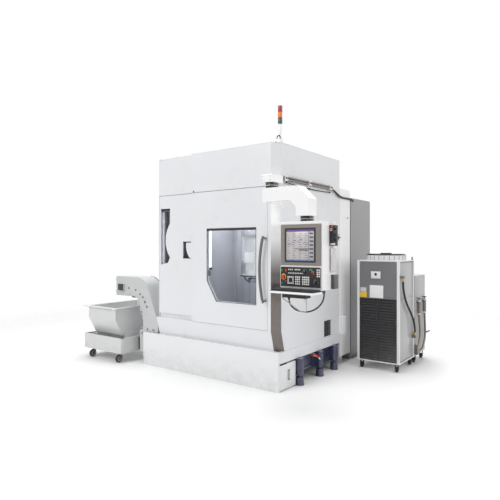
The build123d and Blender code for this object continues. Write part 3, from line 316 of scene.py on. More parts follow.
def brushed(name, colour, rough=0.28, stretch=(900, 900, 6), tone=0.12, below_reflection_colour=None,
            fade=None):
    """Drawn or ground bright metal. Given a low colour, the metal takes it below the two heights of
    fade and keeps its own tint above: a painted reflection, bright above and darker below
    """
    material, tree, shader = surface(name, Metallic=1)
    edge = placed(tree, EDGE, Radius=0.0015)
    lines = placed(tree, BRUSH, Stretch=stretch)
    cloud = placed(tree, CLOUD, Size=3)
    tint = clouded(tree, cloud, colour, tone)
    if below_reflection_colour:
        place = put(tree, "ShaderNodeTexCoord")
        split = put(tree, "ShaderNodeSeparateXYZ")
        join(tree, place.outputs["Object"], split.inputs["Vector"])
        # Painted reflection: colour by height, the dark low colour below the fade and the bright
        # tint above it
        tint = mix_colour(tree, ramp(tree, split.outputs["Z"], *fade), below_reflection_colour, tint)
    join(tree, tint, shader.inputs["Base Color"])
    join(tree, ramp(tree, lines.outputs["Streak"], 0, 1, rough - 0.06, rough + 0.1),
         shader.inputs["Roughness"])
    join(tree, bump_from(tree, lines.outputs["Height"], edge.outputs["Normal"], 0.00002),
         shader.inputs["Normal"])
    return material


def moulded(name, colour, rough=0.45, grain=0.00006, tone=0.1, coat=0.0, dust=0.15):
    """Moulded plastic or rubber with a fine grain"""
    material, tree, shader = surface(name, Coat_Weight=coat, Coat_Roughness=0.1)
    edge = placed(tree, EDGE, Radius=0.0012)
    cloud = placed(tree, CLOUD, Size=7)
    dirt = placed(tree, DUST, Height=0.3, Amount=dust)
    skin = placed(tree, PEEL, Scale=700)
    base = clouded(tree, cloud, colour, tone)
    scuffed = mix_colour(tree, edge.outputs["Mask"], base, shade(colour, 1.5))
    join(tree, mix_colour(tree, dirt.outputs["Mask"], scuffed, SCUFF_COLOUR),
         shader.inputs["Base Color"])
    join(tree, ramp(tree, cloud.outputs["Mask"], 0.3, 0.7, rough - 0.06, rough + 0.08),
         shader.inputs["Roughness"])
    join(tree, bump_from(tree, skin.outputs["Height"], edge.outputs["Normal"], grain),
         shader.inputs["Normal"])
    return material


def lit(name, colour, strength):
    """Display or lens plastic with a faint glow of its own"""
    material, tree, shader = surface(name, Coat_Weight=0.5, Emission_Strength=strength)
    cloud = placed(tree, CLOUD, Size=20)
    edge = placed(tree, EDGE, Radius=0.001)
    base = clouded(tree, cloud, colour, 0.08)
    join(tree, base, shader.inputs["Base Color"])
    join(tree, base, shader.inputs["Emission Color"])
    join(tree, ramp(tree, cloud.outputs["Mask"], 0.3, 0.7, 0.25, 0.35),
         shader.inputs["Roughness"])
    join(tree, edge.outputs["Normal"], shader.inputs["Normal"])
    return material


def glazed(name, colour):
    """Tough window sheet: clear with a slight tint, smears in the roughness"""
    material, tree, shader = surface(name, Metallic=0, Transmission_Weight=1, IOR=1.2)
    cloud = placed(tree, CLOUD, Size=6)
    join(tree, mix_colour(tree, cloud.outputs["Mask"], shade(colour, 0.97), shade(colour, 1.02)),
         shader.inputs["Base Color"])
    join(tree, ramp(tree, cloud.outputs["Mask"], 0.4, 0.7, 0.04, 0.1),
         shader.inputs["Roughness"])
    return material


WHITE_PAINT = coated("white_paint", (0.78, 0.79, 0.81), rough=0.3)
SKIRT_PAINT = coated("skirt_paint", (0.8, 0.81, 0.82), rough=0.34, dust=0.4, dust_height=0.3)
# Painted light: a brighter copy of the white paint for the rear housing, standing in for light on
# its column
LIT_COLUMN_PAINT = coated("column_paint_lit_copy", (0.92, 0.92, 0.92), rough=0.34)
NAVY_PAINT = coated("navy_paint", (0.018, 0.025, 0.075), rough=0.28, rub=0.7, peel=0.0004,
                    peel_scale=110, worn=(0.2, 0.2, 0.22), dust=0.3, coat=0.5)
CABINET_PAINT = coated("cabinet_paint", (0.29, 0.29, 0.295), rough=0.36)
CART_PAINT = coated("cart_paint", (0.66, 0.67, 0.67), rough=0.34, rub=0.8, dust=0.5)
CONVEYOR_PAINT = coated("conveyor_paint", (0.56, 0.57, 0.575), rough=0.34, rub=0.5)
CHILLER_PAINT = coated("chiller_paint", (0.17, 0.17, 0.18), rough=0.34)
CHILLER_SIDE = coated("chiller_side", (0.4, 0.4, 0.41), rough=0.34)
CHILLER_WHITE = coated("chiller_white", (0.8, 0.8, 0.8), rough=0.36, rub=0.5)
UNIT_PAINT = coated("unit_paint", (0.4, 0.4, 0.4), rough=0.4)
DARK_RED = moulded("dark_red", (0.13, 0.03, 0.025), rough=0.45)
BLACK_PAINT = coated("black_paint", (0.012, 0.012, 0.014), rough=0.4, rub=0.5, tone=0.15)
PENDANT_PAINT = coated("pendant_paint", (0.93, 0.93, 0.93), rough=0.36, radius=0.002, dust=0)
BRONZE_PAINT = coated("bronze_paint", (0.22, 0.2, 0.18), rough=0.42, radius=0.002, dust=0)
LINER_PAINT = coated("liner_paint", (0.6, 0.6, 0.64), rough=0.3, dust=0, tone=0.12)
BLUE_PAINT = coated("blue_paint", (0.03, 0.07, 0.28), rough=0.35, rub=0.8)
# The corner strip carries a painted reflection: near white above 1.62 m, dark grey-brown below 1.25
# m
REFLECTION_PAINTED_STRIP_STEEL = brushed("strip_steel_painted_reflection", (0.97, 0.97, 0.97), rough=0.2, tone=0.02,
                      below_reflection_colour=(0.2, 0.18, 0.17), fade=(1.25, 1.62))
BOX_STEEL = brushed("box_steel", (0.66, 0.66, 0.67), rough=0.24)
TURNED_STEEL = brushed("turned_steel", (0.58, 0.58, 0.6), stretch=(8, 900, 900), rough=0.2)
CUTTER_STEEL = brushed("cutter_steel", (0.3, 0.3, 0.32), stretch=(10, 10, 900), rough=0.3)
ZINC = brushed("zinc_plate", (0.45, 0.45, 0.44), stretch=(60, 60, 60), rough=0.35, tone=0.25)
HANDLE_STEEL = brushed("handle_steel", (0.17, 0.165, 0.165), stretch=(900, 900, 4), rough=0.3)
BLACK_PLASTIC = moulded("black_plastic", (0.008, 0.008, 0.009), rough=0.5, dust=0.08)
KEY_WHITE = moulded("key_white", (0.86, 0.86, 0.84), rough=0.4, dust=0)
BLACK_RUBBER = moulded("black_rubber", (0.014, 0.014, 0.015), rough=0.6, grain=0.0001)
TYRE_RUBBER = moulded("tyre_rubber", (0.012, 0.012, 0.013), rough=0.62, grain=0.0002, dust=0.15)
CONDUIT_WHITE = moulded("conduit_white", (0.72, 0.72, 0.72), rough=0.5)
CONDUIT_STEEL = brushed("conduit_steel", (0.26, 0.235, 0.225), stretch=(900, 6, 900), rough=0.3)
RED_PLASTIC = moulded("red_plastic", (0.6, 0.012, 0.012), rough=0.25, coat=0.6, tone=0.05)
GREEN_PLASTIC = moulded("green_plastic", (0.01, 0.3, 0.06), rough=0.25, coat=0.6, tone=0.05)
TEAL_PLASTIC = moulded("teal_plastic", (0.01, 0.25, 0.26), rough=0.3, coat=0.5, tone=0.05)
YELLOW_PLASTIC = moulded("yellow_plastic", (0.8, 0.52, 0.02), rough=0.35, coat=0.3, tone=0.05)
SASH_PAINT = coated("sash_paint", (0.7, 0.71, 0.74), rough=0.34, dust=0)
SASH_DARK = coated("sash_dark", (0.12, 0.12, 0.14), rough=0.4, dust=0)
CHAMBER_PAINT = coated("chamber_paint", (0.6, 0.6, 0.64), rough=0.3, dust=0, tone=0.1)
BRACE_PAINT = coated("brace_paint", (0.62, 0.6, 0.6), rough=0.3, radius=0.001, dust=0)
SIDE_GREY = coated("side_grey", (0.05, 0.05, 0.055), rough=0.4, radius=0.001, dust=0)
GLOSS_BLACK = moulded("gloss_black", (0.006, 0.006, 0.006), rough=0.22, coat=0.25,
                      grain=0.00001, dust=0)
CASTER_STEEL = brushed("caster_steel", (0.16, 0.16, 0.165), stretch=(60, 60, 60), rough=0.35,
                       tone=0.2)
DARK_STEEL = brushed("dark_steel", (0.12, 0.12, 0.125), stretch=(60, 60, 60), rough=0.4)
PIPE_STEEL = brushed("pipe_steel", (0.22, 0.19, 0.165), stretch=(60, 60, 200), rough=0.35,
                     tone=0.4)
BRASS = brushed("brass", (0.6, 0.42, 0.12), stretch=(80, 80, 80), rough=0.28)
LIGHT_TUBE = lit("light_tube_painted_highlight", (0.9, 0.92, 0.95), 1.2)
RED_LENS = lit("red_lens", (0.32, 0.004, 0.008), 0.1)
AMBER_LENS = lit("amber_lens", (0.72, 0.16, 0.006), 0.12)
GREEN_LENS = lit("green_lens", (0.003, 0.055, 0.03), 0.05)
SCREEN_BEIGE = lit("screen_beige", (0.4, 0.38, 0.38), 0.28)
SCREEN_BLUE = lit("screen_blue", (0.16, 0.2, 0.42), 0.3)
SCREEN_PURPLE = lit("screen_purple", (0.12, 0.05, 0.24), 0.3)
SCREEN_GREY = lit("screen_grey", (0.33, 0.31, 0.33), 0.28)
SCREEN_DARK = lit("screen_dark", (0.03, 0.035, 0.04), 0.05)
WINDOW_CLEAR = glazed("window_clear", (0.9, 0.93, 0.95))
ACCESS_CLEAR = glazed("access_clear", (0.88, 0.88, 0.93))

NODE_FINISH = {
    WHITE_PAINT: ("front_cover", "left_cover", "side_cover", "canopy", "main_door", "access_door"),
    SKIRT_PAINT: ("coolant_tank",),
    LIT_COLUMN_PAINT: ("rear_housing",),
    NAVY_PAINT: ("cast_base", "levelling_feet"),
    CABINET_PAINT: ("cabinet", "cabinet_door"),
    CART_PAINT: ("cart_frame", "cart_hopper"),
    CONVEYOR_PAINT: ("conveyor_housing",),
    CHILLER_PAINT: ("chiller_body",),
    UNIT_PAINT: ("coolant_unit",),
    CHILLER_WHITE: ("chiller_frame",),
    BLACK_PAINT: ("chiller_grille", "chiller_fan", "fan_guard"),
    PIPE_STEEL: ("unit_pipes",),
    PENDANT_PAINT: ("pendant_housing", "lamp_mast", "arm_bracket", "swing_arm"),
    BRONZE_PAINT: ("screen_bezel",),
    LINER_PAINT: ("chamber_liner",),
    BLUE_PAINT: ("work_head",),
    REFLECTION_PAINTED_STRIP_STEEL: ("corner_strip",),
    BOX_STEEL: ("spindle_slide",),
    TURNED_STEEL: ("bevel_gear",),
    CUTTER_STEEL: ("cutter_head",),
    HANDLE_STEEL: ("main_handle",),
    CASTER_STEEL: ("rear_forks", "fork_front_left", "fork_front_right", "drain_lever"),
    BLACK_PLASTIC: ("chiller_casters", "button_panel", "keyboard_shelf", "hand_unit", "handwheel",
                    "feed_knob", "mode_knob", "screen"),
    TYRE_RUBBER: ("wheel_front_left", "wheel_front_right", "wheel_rear_left",
                  "wheel_rear_right"),
    BLACK_RUBBER: ("pendant_cable", "chiller_hose"),
    CONDUIT_STEEL: ("conduit_run",),
    RED_PLASTIC: ("emergency_stop", "halt_button"),
    DARK_RED: ("valve_lever",),
    GREEN_PLASTIC: ("start_button",),
    RED_LENS: ("signal_lamps",),
    WINDOW_CLEAR: ("main_window",),
    ACCESS_CLEAR: ("access_window",),
}
for finish, nodes in NODE_FINISH.items():
    for node in nodes:
        plain_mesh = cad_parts[node].data
        plain_mesh.materials.clear()
        plain_mesh.materials.append(finish)


# How a piece is made


class Piece:
    """Gathers the faces of one piece; sizes in millimetres from the machine's corner.
    Each shape gives the piece back, so that the next one or done() can follow it"""

    def __init__(self, name, body, finish, slot):
        self.name, self.body, self.finish, self.slot = name, body, finish, slot
        self.mesh = bmesh.new()

    def soften(self, edges, width):
        """Rounds edges of this piece"""
        once_each = list(dict.fromkeys(edges))
        bmesh.ops.bevel(self.mesh, geom=once_each, offset=width, segments=2, affect="EDGES",
                        profile=0.5)

    def block(self, x, y, z, soft=0):
        """Block between two limits along each axis, its edges rounded by soft"""
        size = (x[1] - x[0], y[1] - y[0], z[1] - z[0])
        centre = ((x[0] + x[1]) / 2, (y[0] + y[1]) / 2, (z[0] + z[1]) / 2)
        place = Matrix.Translation(centre) @ Matrix.Diagonal((*size, 1))
        made = bmesh.ops.create_cube(self.mesh, size=1, matrix=place)["verts"]
        if soft:
            self.soften((edge for vert in made for edge in vert.link_edges), soft)
        return self

    def turned(self, base, along, profile, sides):
        """Turned shape: rings of (distance along the axis, radius) from base"""
        turn = Vector(along).to_track_quat("Z", "Y").to_matrix()
        rings = []
        for height, radius in profile:
            if radius == 0:
                spot = Vector(base) + turn @ Vector((0, 0, height))
                rings.append([self.mesh.verts.new(spot)])
                continue
            rings.append([self.mesh.verts.new(
                Vector(base) + turn @ Vector((radius * cos(2 * pi * i / sides),
                                              radius * sin(2 * pi * i / sides), height)))
                for i in range(sides)])
        for low, high in zip(rings[:-1], rings[1:]):
            for i in range(sides):
                j = (i + 1) % sides
                corners = [low[i % len(low)], low[j % len(low)],
                           high[j % len(high)], high[i % len(high)]]
                unique = list(dict.fromkeys(corners))
                if len(unique) > 2:
                    self.mesh.faces.new(unique)
        return self

    def rod(self, start, end, radius, soft=0.8):
        """Round bar between two points with chamfered ends"""
        along = Vector(end) - Vector(start)
        length = along.length
        return self.turned(start, along, ((0, 0), (0, radius - soft), (soft, radius),
                                          (length - soft, radius), (length, radius - soft),
                                          (length, 0)), 20)

    def ring(self, centre, along, radius, wire, sides, around):
        """Ring of round wire"""
        turn = Vector(along).to_track_quat("Z", "Y").to_matrix()
        rows = []
        for i in range(sides):
            angle = 2 * pi * i / sides
            rows.append([])
            for k in range(around):
                tilt = 2 * pi * k / around
                reach = radius + wire * cos(tilt)
                rows[-1].append(self.mesh.verts.new(Vector(centre) + turn @ Vector(
                    (reach * cos(angle), reach * sin(angle), wire * sin(tilt)))))
        self._skin(rows, closed=True)
        return self

    def pipe(self, points, radius, sides=12):
        """Tube along a line of points, with capped ends"""
        points = [Vector(p) for p in points]
        rows = []
        side = None
        for i, point in enumerate(points):
            ahead = points[min(i + 1, len(points) - 1)] - points[max(i - 1, 0)]
            ahead.normalize()
            if side is None:
                side = ahead.orthogonal().normalized()
            side = (side - ahead * side.dot(ahead)).normalized()
            across = ahead.cross(side)
            turns = [2 * pi * k / sides for k in range(sides)]
            rows.append([self.mesh.verts.new(
                point + radius * (side * cos(turn) + across * sin(turn))) for turn in turns])
        self._skin(rows, closed=False)
        self.mesh.faces.new(rows[0])
        self.mesh.faces.new(rows[-1][::-1])
        return self

    def _skin(self, rows, closed):
        """Faces between rows of points, round to the first row again where closed"""
        count = len(rows)
        for i in range(count if closed else count - 1):
            here, there = rows[i], rows[(i + 1) % count]
            for k in range(len(here)):
                j = (k + 1) % len(here)
                self.mesh.faces.new((here[k], there[k], there[j], here[j]))

    def prism(self, outline, axis, low, high, soft=0):
        """Outline drawn across an axis and raised from low to high along it.
        For x the outline is (y, z), for y it is (x, z) and for z it is (x, y)"""
        place = {"x": lambda a, b, c: (c, a, b), "y": lambda a, b, c: (a, c, b),
                 "z": lambda a, b, c: (a, b, c)}[axis]
        ends = [[self.mesh.verts.new(place(a, b, c)) for a, b in outline] for c in (low, high)]
        faces = [self.mesh.faces.new(ends[0]), self.mesh.faces.new(ends[1][::-1])]
        count = len(outline)
        for i in range(count):
            j = (i + 1) % count
            faces.append(self.mesh.faces.new((ends[0][i], ends[1][i], ends[1][j], ends[0][j])))
        if soft:
            self.soften((edge for face in faces for edge in face.edges), soft)
        return self

    def frame_of(self, outline, width, low, high):
        """Flat band of a given width just outside a closed (x, z) outline, from y low to high"""
        count = len(outline)
        centre = Vector((sum(p[0] for p in outline) / count, sum(p[1] for p in outline) / count))
        outer = []
        for i in range(count):
            here = Vector(outline[i])
            before = (here - Vector(outline[i - 1])).normalized()
            after = (Vector(outline[(i + 1) % count]) - here).normalized()
            normal = Vector((before.y + after.y, -before.x - after.x)).normalized()
            if normal.dot(here - centre) < 0:
                normal.negate()
            spread = max(0.5, abs(normal.dot(Vector((before.y, -before.x)))))
            outer.append(here + normal * width / spread)
        rows = []
        for here, far in zip(outline, outer):
            rows.append([self.mesh.verts.new(spot) for spot in (
                (here[0], low, here[1]), (far[0], low, far[1]),
                (far[0], high, far[1]), (here[0], high, here[1]))])
        self._skin(rows, closed=True)
        return self

    def screws(self, places, along, radius, height):
        """Button-head socket screws: domed head with a hexagon sunk in it"""
        for place in places:
            self.turned(place, along, ((0, radius), (height * 0.5, radius),
                                       (height, radius * 0.7), (height, radius * 0.42),
                                       (height * 0.4, radius * 0.4), (height * 0.4, 0)), 12)
        return self

    def nuts(self, places, along, radius, height):
        """Hexagon heads on round washers"""
        washer = 1.6
        for place in places:
            self.turned(place, along, ((0, radius * 1.35), (washer, radius * 1.35),
                                       (washer, radius)), 20)
            self.turned(Vector(place) + Vector(along) * washer, along,
                        ((0, radius), (height - 1, radius), (height, radius * 0.86),
                         (height, 0)), 6)
        return self

    def done(self):
        """Makes the object, smooths its round faces and lets it ride its body"""
        bmesh.ops.recalc_face_normals(self.mesh, faces=self.mesh.faces)
        self.mesh.transform(Matrix.Translation(at(0, 0, 0)) @ Matrix.Scale(0.001, 4))
        for face in self.mesh.faces:
            face.smooth = True
        for edge in self.mesh.edges:
            edge.smooth = edge.is_manifold and edge.calc_face_angle(0) < CREASE_ANGLE
        data = bpy.data.meshes.new(self.name)
        self.mesh.to_mesh(data)
        self.mesh.free()
        data.materials.append(self.finish)
        piece = bpy.data.objects.new(self.name, data)
        bpy.context.scene.collection.objects.link(piece)
        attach(piece, self.body)
        return piece


def oblong(left, right, low, high):
    """Corners of an upright oblong, as prism and frame_of take them"""
    return ((left, low), (right, low), (right, high), (left, high))


def steps_between(low, high, count):
    """Even steps from low to high, both included"""
    return [low + (high - low) * i / (count - 1) for i in range(count)]


def smooth(*places):
    """Points along a smooth line through the given ones"""
    steps = 6
    points = [Vector(place) for place in places]
    line = []
    for i in range(len(points) - 1):
        before = points[max(i - 1, 0)]
        here, there = points[i], points[i + 1]
        after = points[min(i + 2, len(points) - 1)]
        for k in range(steps):
            t = k / steps
            line.append(0.5 * (2 * here + (there - before) * t
                               + (2 * before - 5 * here + 4 * there - after) * t ** 2
                               + (3 * here - before - 3 * there + after) * t ** 3))
    return line + [points[-1]]


def cord(name, body, finish, node, route, diameter):
    """Free hose or cable on its route, standing for its plain solid"""
    curve = bpy.data.curves.new(name, "CURVE")
    curve.dimensions = "3D"
    curve.bevel_depth = diameter / 2
    curve.bevel_resolution = 6
    curve.resolution_u = 16
    curve.use_fill_caps = True
    line = curve.splines.new("NURBS")
    line.points.add(len(route) - 1)
    for point, place in zip(line.points, route):
        point.co = (*at(*place), 1)
    line.order_u = 3
    line.use_endpoint_u = True
    curve.materials.append(finish)
    piece = bpy.data.objects.new(name, curve)
    bpy.context.scene.collection.objects.link(piece)
    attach(piece, body)
    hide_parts(node)


# The sliding main door: seal of its window with a black strip over its top as painted shadow, sash,
# catch, handle and edge seal

WINDOW = ((-1000, 1750), (-292, 1750), (-292, 910), (-856, 910), (-1000, 1144))
SASH = ((-994, 1742), (-297, 1742), (-297, 915), (-853, 915), (-994, 1146))
HANDLE_X = -161
HANDLE_FEET = (968, 1628)
HANDLE_MIDDLE, HANDLE_HALF, HANDLE_BOW = 1298, 358, 45
seal = Piece("window_seal_and_painted_shadow", "main_door", BLACK_RUBBER, "panel_black")
seal.frame_of(WINDOW, 5, -1.2, 6)
# Black strip across the window's top: painted shadow that the door's thickness casts on the
# recessed glass
seal.prism(oblong(-1004, -290, 1728, 1753), "y", -2.5, 12, soft=1)
seal.done()
Piece("window_sash", "main_door", SASH_PAINT, "cover_paint").frame_of(SASH, 22, 23, 30).done()
catch = Piece("window_catch", "main_door", DARK_STEEL, "panel_black")
catch.prism(((-990, 1196), (-962, 1206), (-958, 1236), (-966, 1262), (-990, 1268)), "y", 10, 22,
            soft=3)
catch.screws(((-976, 10, 1222), (-976, 10, 1250)), FORWARD, 4, 3)
catch.done()
feet = Piece("handle_feet", "main_door", ZINC, "bright_steel")
for z in HANDLE_FEET:
    feet.turned((HANDLE_X, 0.5, z), FORWARD, ((0, 19), (3, 19), (6, 15), (6, 0)), 28)
feet.screws(product((-173, -149), (-1.5,), (952, 984, 1612, 1644)), FORWARD, 4, 3)
feet.done()
bow = [(HANDLE_X - HANDLE_BOW * (1 - ((z - HANDLE_MIDDLE) / HANDLE_HALF) ** 2), -52, z)
       for z in steps_between(*HANDLE_FEET, 41)]
Piece("handle_grip", "main_door", HANDLE_STEEL, "bright_steel").pipe(bow, 15, 18).done()
Piece("door_edge_seal", "main_door", BLACK_RUBBER, "panel_black").prism(
    oblong(-142, -138.6, 660, 2170), "y", 12, 30, soft=0.8).done()

# The left access door: the waved edge behind its window, seal, lining of the pull, hinges

WAVE = ((-1700, 1985), (-1700, 1850), (-1712, 1800), (-1738, 1745), (-1764, 1680), (-1772, 1640),
        (-1764, 1590), (-1742, 1530), (-1718, 1480), (-1704, 1440))
backing = Piece("window_backing", "access_door", SASH_DARK, "liner_paint")
backing.prism((*WAVE, (-1704, 1330), (-1660, 1330), (-1660, 1985)), "y", 66, 74, soft=1)
backing.prism(oblong(-1830, -1660, 1985, 2022), "y", 66, 74, soft=1)
backing.done()
Piece("access_seal", "access_door", BLACK_RUBBER, "panel_black").prism(
    oblong(-1838, -1666, 2010, 2028), "y", 45.1, 58, soft=1).done()
pull = Piece("pull_lining", "access_door", BLACK_PLASTIC, "panel_black")
pull.prism(oblong(-1438, -1302, 1397, 1603), "y", 61.4, 63.2, soft=0.5)
pull.prism(oblong(-1438, -1302, 1592, 1603), "y", 45.2, 62, soft=0.5)
pull.prism(oblong(-1438, -1302, 1397, 1402), "y", 46, 62, soft=0.5)
pull.done()
hinges = Piece("access_hinges", "base", PENDANT_PAINT, "cover_paint")
for z in (820, 1440, 2060):
    hinges.rod((-1875, 62, z - 42), (-1875, 62, z + 42), 6, soft=1.5)
    hinges.block((-1873.5, LEFT_WALL), (66, 118), (z - 38, z + 38), soft=1.2)
    hinges.screws(product((-1873.5,), (92,), (z - 22, z + 22)), LEFTWARD, 5, 3)
hinges.done()

# Covers and tank: lock, screws, door tracks, vent bars, slot seal and level gauge

Piece("cover_lock", "base", DARK_STEEL, "caster_steel").turned(
    (-1216, 0.5, 2204), FORWARD, ((0, 11), (2, 11), (4, 8), (4, 4), (1.5, 3), (1.5, 0)), 20).done()
Piece("skirt_screws", "base", ZINC, "caster_steel").screws(
    [(x, 14, 419.5) for x in (-2060, -1700, -1320, -940, -581, -316, -61)], UPWARD, 7, 5).done()
felt = Piece("door_felt", "base", SASH_PAINT, "cover_paint")
felt.prism(oblong(-1240, -142, 2187.8, 2190.4), "y", 0.8, 40)
felt.prism(oblong(-1866, -1256, 2187.9, 2190.4), "y", 45.8, 74)
felt.done()
vent_bars = Piece("vent_screen", "base", BLACK_PAINT, "grille_black")
for z in steps_between(434, 613, 16):
    vent_bars.block((-14, -10), (1052, 1218), (z, z + 8), soft=0.8)
for y in (1054, 1134, 1214):
    vent_bars.block((-16, -13), (y - 2, y + 2), (432, 623), soft=0.5)
vent_bars.done()
Piece("roof_screws", "base", ZINC, "caster_steel").screws(
    [(x, y, 2659.5) for x in steps_between(-1830, -55, 7) for y in (35, 740, 1440)],
    UPWARD, 7, 5).done()
Piece("tank_slot_seal", "base", BLACK_RUBBER, "panel_black").prism(
    ((12, 279), (150, 279), (176, 286), (176, 293), (12, 293)), "x", -13, -1, soft=0.8).done()
Piece("level_glass", "base", KEY_WHITE, "lamp_white").prism(
    oblong(193, 203, 112, 200), "x", 9, 11, soft=0.8).done()
level_frame = Piece("level_frame", "base", BLACK_PLASTIC, "panel_black")
level_frame.prism(oblong(183, 213, 98, 214), "x", 8, 10.6, soft=0.8)
level_frame.screws(((10.6, 198, 105), (10.6, 198, 207)), RIGHTWARD, 4, 3)
level_frame.done()

# Arm bracket and swing arm: black collars, cover plate and screws

PIVOT_COLLAR = ((0, 63), (4, 65), (26, 65), (28, 61), (31, 61), (33, 65), (55, 65), (59, 63))
Piece("pivot_collar", "swing_arm", GLOSS_BLACK, "panel_black").turned(
    (-15, -100, 2145), UPWARD, PIVOT_COLLAR, 48).done()
PENDANT_COLLAR = ((0, 66), (5, 67), (22, 67), (25, 62), (29, 62), (32, 66), (50, 66), (54, 64))
Piece("pendant_collar", "pendant", GLOSS_BLACK, "panel_black").turned(
    (390, -75, 1790.5), UPWARD, PENDANT_COLLAR, 48).done()
Piece("arm_covers", "swing_arm", PENDANT_PAINT, "cover_paint").block(
    (-60, 300), (-171, -17), (2144, 2146.5), soft=1).done()
Piece("arm_screws", "swing_arm", ZINC, "caster_steel").screws(
    [(x, y, 2146.2) for x in (-40, 130, 285) for y in (-158, -30)], UPWARD, 6, 4).done()
bracket_screws = Piece("bracket_screws", "base", ZINC, "caster_steel")
bracket_screws.screws([(x, y, 2284.5) for x in (-70, 20) for y in (-165, -60, 10)], UPWARD, 8, 5)
bracket_screws.screws([(x, -189.5, z) for x in (-75, 25) for z in (2225, 2262)], FORWARD, 6, 4)
bracket_screws.done()

# Conduit clamps, and the black cable that sags below the pipes

CABLE_START, CABLE_STEP, CABLE_TOP, CABLE_SAG = 150, 24, 2236, 24
SIDE_CABLE = [(6, CABLE_START + CABLE_STEP * i, CABLE_TOP - CABLE_SAG * sin(pi * (i / 62) ** 0.8))
              for i in range(44)]
clamps = Piece("conduit_clamps", "base", CONDUIT_WHITE, "conduit_white")
for y in CLAMP_ROW:
    clamps.block((-15, 29), (y - 30, y + 30), (2246, 2308), soft=5)
clamps.done()
Piece("clamp_bolts", "base", DARK_STEEL, "caster_steel").nuts(
    [(28.5, y + a, 2277) for y in CLAMP_ROW for a in (-16, 16)], RIGHTWARD, 8, 8).done()
Piece("side_cable", "base", BLACK_RUBBER, "hose_rubber").pipe(SIDE_CABLE, 5).done()
SLEEVE = smooth((8, 1192, 2263), (8, 1250, 2254), (8, 1306, 2237), (8, 1364, 2214),
                (8, 1422, 2197), (8, 1490, 2184), (8, 1560, 2180), (8, 1700, 2181),
                (8, 1800, 2175), (1, 1856, 2160))
Piece("cable_sleeve", "base", BLACK_RUBBER, "hose_rubber").pipe(SLEEVE, 12, 14).done()
clips = Piece("cable_clips", "base", BLACK_PLASTIC, "panel_black")
for spot in (SIDE_CABLE[0], SIDE_CABLE[21], SIDE_CABLE[42]):
    y, z = spot[1:]
    clips.block((-1, 9), (y - 7, y + 7), (z - 10, z + 10), soft=2)
clips.done()

# Signal lamp: three coloured lenses between black rings, and its cable hook

LENS_PROFILE = ((0, 0), (0, 23), (2, 24.6), (6, 24.6), (8, 23.4), (12, 24.6), (52, 24.6),
                (56, 23.4), (60, 24.6), (62, 23.5), (62, 0))
for name, finish, low in (("red_lamp", RED_LENS, 2990), ("amber_lamp", AMBER_LENS, 2923),
                          ("green_lamp", GREEN_LENS, 2856)):
    lens = Piece(name, "base", finish, "lamp_plastic")
    lens.turned((LAMP_X, LAMP_Y, low), UPWARD, LENS_PROFILE, 40)
    made = lens.done()
    if name == "red_lamp":
        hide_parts("signal_lamps")
rings = Piece("lamp_rings", "base", BLACK_PLASTIC, "panel_black")
for z in (2918.5, 2985.5):
    rings.turned((LAMP_X, LAMP_Y, z), UPWARD, ((0, 20), (0, 24), (4, 24), (4, 20)), 40)
rings.done()
Piece("lamp_cap", "base", RED_PLASTIC, "lamp_plastic").turned(
    (LAMP_X, LAMP_Y, 3051.5), UPWARD, ((0, 23), (0.8, 22.5), (1.4, 18), (1.4, 0)), 40).done()
Piece("lamp_cable", "base", BLACK_RUBBER, "hose_rubber").pipe(
    [(-66 + 22 * (1 - cos(t)), 74, 2700 + 34 * sin(t)) for t in steps_between(0, pi, 22)], 5).done()
flange = Piece("mast_flange", "base", CONDUIT_WHITE, "lamp_white")
flange.turned((LAMP_X, LAMP_Y, 2661), UPWARD,
              ((0, 31), (6, 31), (8, 29), (8, 18), (44, 17.5), (46, 16)), 36)
flange.screws([(LAMP_X + 24 * cos(turn), LAMP_Y + 24 * sin(turn), 2668.5)
               for turn in steps_between(0.5, 5.2, 4)], UPWARD, 4, 3)
flange.done()

# Pendant: bare fields of the display, keys, knob scales, panel edge, screws, back plate

DISPLAY_PARTS = (
    ("display_field", SCREEN_BEIGE, ((226, 477, 1418, 1690),)),
    ("display_title", SCREEN_PURPLE, ((226, 544, 1693, 1712), (330, 500, 1519, 1526))),
    ("display_side", SCREEN_GREY, ((480, 544, 1418, 1690),)),
    ("display_bars", SCREEN_BLUE, ((226, 300, 1404, 1415), (306, 380, 1404, 1415),
                                   (386, 460, 1404, 1415), (466, 544, 1404, 1415),
                                   (380, 470, 1506, 1516))),
)
for name, finish, fields in DISPLAY_PARTS:
    plate = Piece(name, "pendant", finish, "screen_glass")
    for field in fields:
        plate.prism(oblong(*field), "y", -207.5, -206.9, soft=0.15)
    plate.done()
marks = Piece("display_marks", "pendant", SCREEN_DARK, "screen_glass")
for row, z in enumerate(steps_between(1668, 1436, 12)):
    for column, x in enumerate(steps_between(238, 440, 4)):
        length = 14 + (row * 7 + column * 11) % 23
        marks.prism(oblong(x, x + length, z, z + 4), "y", -207.9, DISPLAY_FACE)
for z in steps_between(1440, 1664, 7):
    marks.prism(oblong(492, 532, z, z + 14), "y", -207.9, DISPLAY_FACE)
marks.done()
shapes = Piece("display_shapes", "pendant", SCREEN_PURPLE, "screen_glass")
shapes.prism(oblong(250, 330, 1560, 1563), "y", -208.1, DISPLAY_FACE)
for low, x in ((1570, 252), (1582, 286), (1600, 318), (1588, 352), (1610, 388), (1578, 420)):
    shapes.prism(oblong(x, x + 24, low, low + 5), "y", -208.1, DISPLAY_FACE)
shapes.done()
Piece("screen_surround", "pendant", GLOSS_BLACK, "panel_black").frame_of(
    oblong(231, 539, 1408, 1708), 17, -208.6, -206.5).done()
WIDE_PAD = tuple(product(steps_between(254, 310, 4), (1186, 1206, 1226, 1246)))
